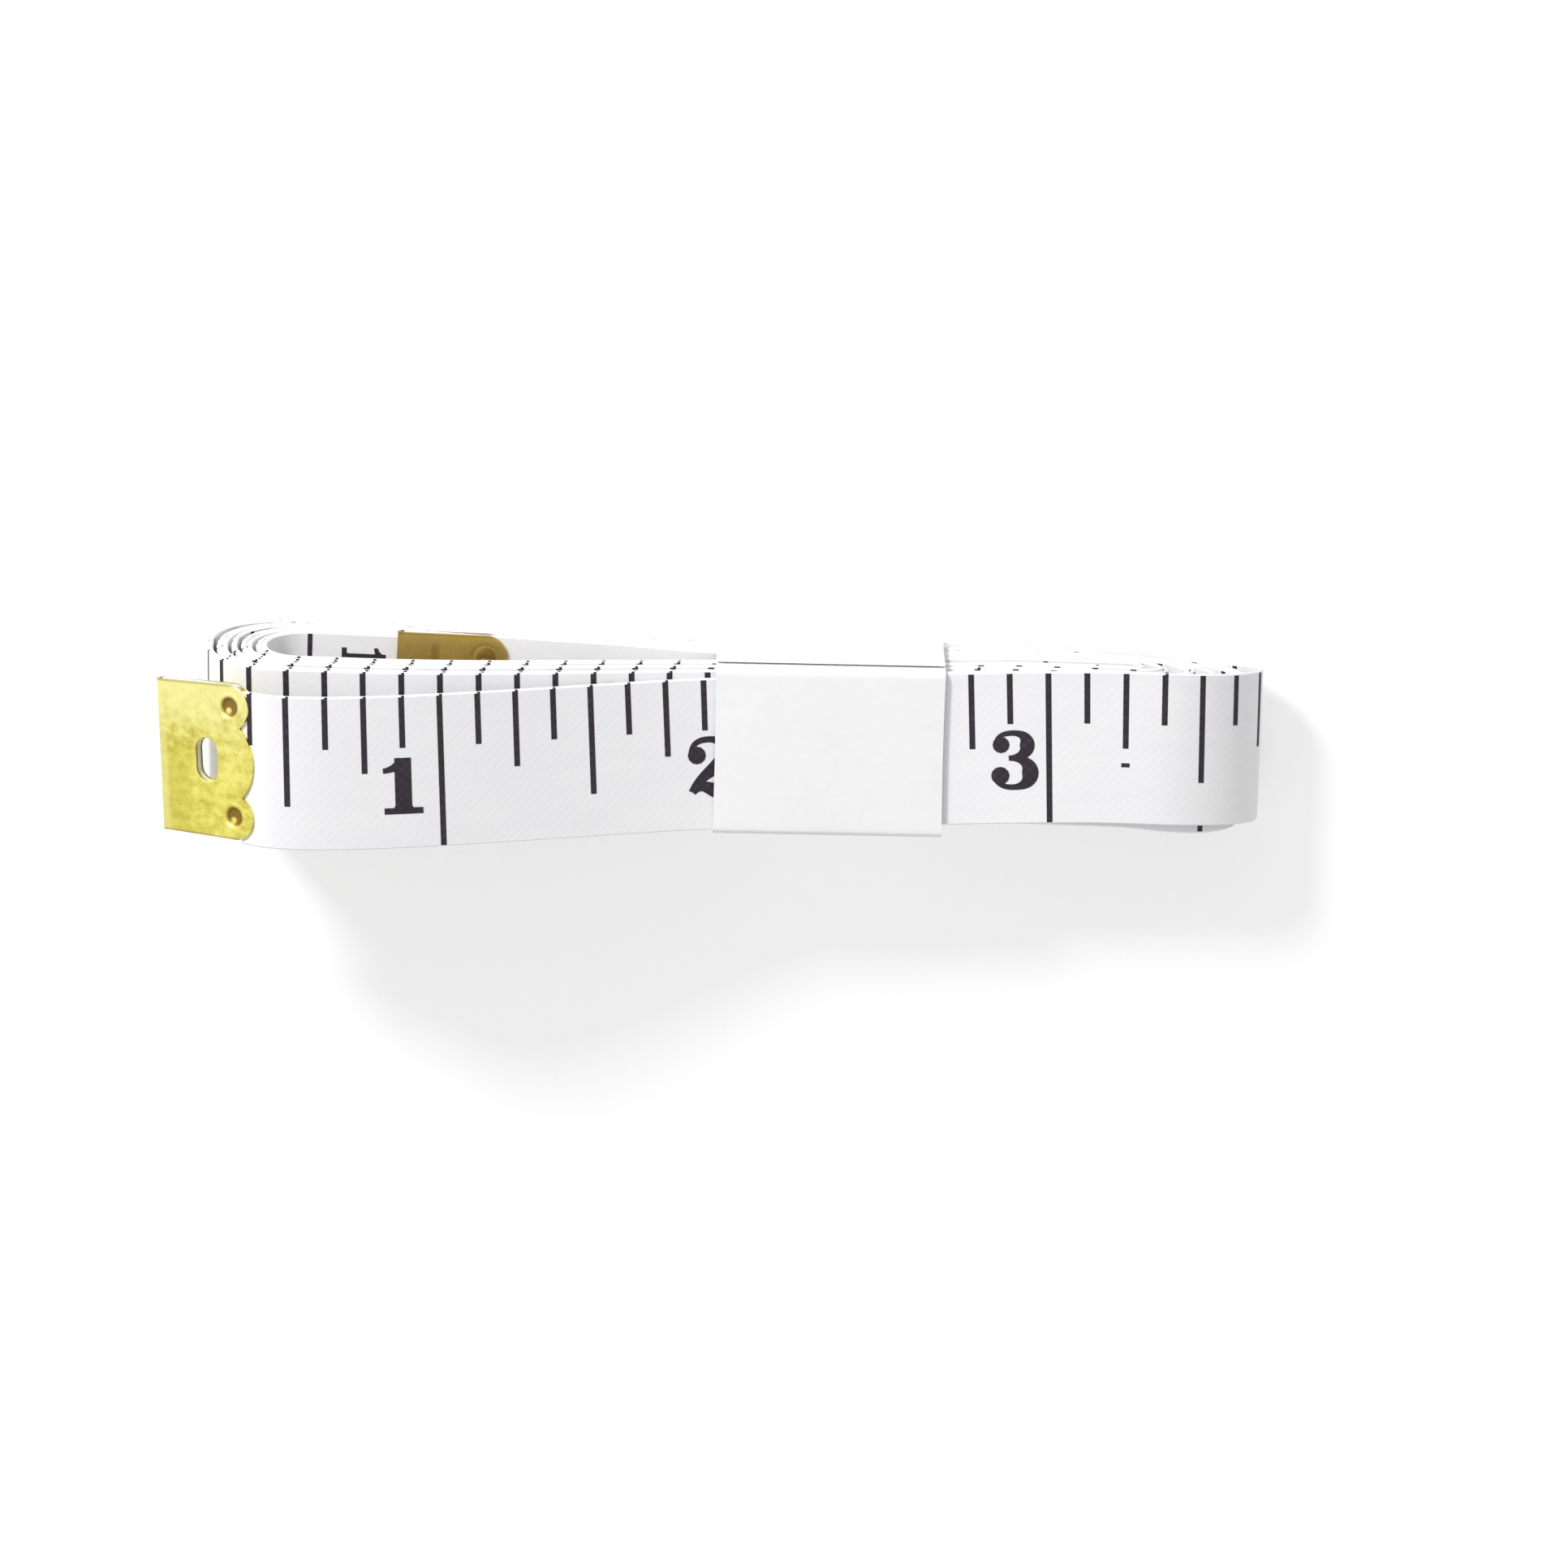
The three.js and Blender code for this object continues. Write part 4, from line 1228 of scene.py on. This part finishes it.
clip_points, clip_faces, clip_uv = brass_clip()
outer_points = set_on_end(clip_points, OUTER_ORIGIN, FREE_END_DROOP, CLIP_SKEW)
outer_clip = mesh_piece("outer_clip_brass", outer_points, clip_faces, clip_uv, brass_finish)
turned_points = clip_points * np.array([1, 1, -1])
inner_points = set_on_end(turned_points, INNER_ORIGIN, 0, INNER_SLANT)
# The inner clip wears the darker copy of the brass, painted shade.
inner_clip = mesh_piece(
    "inner_clip_brass", inner_points, clip_faces[:, ::-1], clip_uv, shaded_brass_finish)
*band_parts, BAND_STRIP = paper_band()
band = mesh_piece("band_paper", *band_parts, paper_finish, sharp_angle=50)

# What the pieces ride on; the imported solids are hidden.

for piece in (tape_wound, wound_inches, wound_centimetres, inner_clip):
    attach(piece, "coil")
for piece in (tape_free, free_inches, free_centimetres):
    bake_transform(piece)
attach(outer_clip, "free_end")
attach(band, "band")
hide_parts("tape_coil")
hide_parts("tape_free_end")
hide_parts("outer_clip")
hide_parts("inner_clip")
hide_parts("paper_band")


# The stage: floor, light and camera, in metres.

FLOOR_HALF = 1.5
FLOOR_LEVEL = -0.00002
FLOOR_AS_LIT = (0.85, 0.85, 0.85)
FLOOR_AS_SEEN = (0.50, 0.50, 0.50)
FLOOR_LIFT = 0.54
SKY_LIGHT = 0.64


def seen_straight(tree):
    """1 for rays from the camera, in a gloss or through glass, and 0 for lighting rays."""
    path = node(tree, "ShaderNodeLightPath")
    either = maths(tree, "MAXIMUM", path.outputs["Is Camera Ray"], path.outputs["Is Glossy Ray"])
    return maths(tree, "MAXIMUM", either, path.outputs["Is Transmission Ray"])


def pale_floor():
    """A white table top, which keeps a pale shadow and is lifted to white where it is seen."""
    material = bpy.data.materials.new("pale_table")
    material.use_nodes = True
    tree = material.node_tree
    tree.nodes.remove(tree.nodes["Principled BSDF"])
    straight = seen_straight(tree)
    colour = mixed(tree, straight, FLOOR_AS_LIT, FLOOR_AS_SEEN)
    matt = node(tree, "ShaderNodeBsdfDiffuse", [("Color", colour)])
    lift = maths(tree, "MULTIPLY", straight, FLOOR_LIFT)
    glow = node(tree, "ShaderNodeEmission", [("Strength", lift)])
    both = node(tree, "ShaderNodeAddShader", [(0, matt.outputs[0]), (1, glow.outputs[0])])
    tree.links.new(both.outputs[0], tree.nodes["Material Output"].inputs["Surface"])
    mesh = bpy.data.meshes.new("table_top")
    sides = np.array([(-1, -1, 0), (1, -1, 0), (1, 1, 0), (-1, 1, 0)])
    mesh.from_pydata(sides * FLOOR_HALF + np.array([0, 0, FLOOR_LEVEL]), [], [(0, 1, 2, 3)])
    mesh.materials.append(material)
    put_in_scene("table_top", mesh)


def aimed(location, target, upwards):
    """A placement at location that looks at target: its own Z points away from the target,
    and Y is as near as it can be to upwards."""
    back = np.array(location, float) - np.array(target, float)
    back /= np.linalg.norm(back)
    right = np.cross(upwards, back)
    right /= np.linalg.norm(right)
    up = np.cross(back, right)
    placement = np.eye(4)
    placement[:3, :4] = np.stack([right, up, back, np.array(location, float)], 1)
    return Matrix(placement.tolist())


def soft_lamp(name, direction, distance, width, power):
    """A round lamp of some width, at a distance in a direction, aimed at the origin."""
    lamp = bpy.data.lights.new(name, "AREA")
    lamp.shape = "DISK"
    lamp.size = width
    lamp.energy = power
    place = np.array(direction, float) / np.linalg.norm(direction) * distance
    put_in_scene(name, lamp).matrix_world = aimed(place, (0, 0, 0), (0.1, 1, 0.05))


def soft_sky():
    """An even pale world: part of full strength as light, and white where it is seen."""
    world = bpy.data.worlds.new("pale_room")
    world.use_nodes = True
    bpy.context.scene.world = world
    tree = world.node_tree
    strength = maths(tree, "MULTIPLY_ADD", seen_straight(tree), 1 - SKY_LIGHT, SKY_LIGHT)
    tree.links.new(strength, tree.nodes["Background"].inputs["Strength"])
    tree.nodes["Background"].inputs["Color"].default_value = (1, 1, 1, 1)


# The camera, with its focal length in pixels of the picture.
CAMERA_PLACE = (0.03142, 0.12801, 0.48970)
CAMERA_YAW = math.radians(3.01)
CAMERA_TILT = math.radians(15.27)
CAMERA_ROLL = math.radians(1.246)
CAMERA_FOCUS = 7349
PICTURE = 1932
SENSOR = 36


def photo_camera():
    """The camera nearly overhead: leaning to the far edge of the tape and a little to its
    tight end, with the tape's marks upright in the picture."""
    data = bpy.data.cameras.new("photo_camera")
    data.sensor_width = SENSOR
    data.lens = SENSOR * CAMERA_FOCUS / PICTURE
    back = np.array([
        math.sin(CAMERA_YAW) * math.cos(CAMERA_TILT), math.sin(CAMERA_TILT),
        math.cos(CAMERA_YAW) * math.cos(CAMERA_TILT)])
    place = np.array(CAMERA_PLACE)
    level = aimed(place, place - back, (0, 1, 0))
    camera = put_in_scene("photo_camera", data)
    camera.matrix_world = level @ Matrix.Rotation(CAMERA_ROLL, 4, "Z")
    bpy.context.scene.camera = camera


pale_floor()
soft_sky()
soft_lamp("window_lamp", (-0.51, 0.69, 0.52), 1.6, 0.3, 19.0)
photo_camera()
bpy.context.scene.view_settings.view_transform = "Standard"
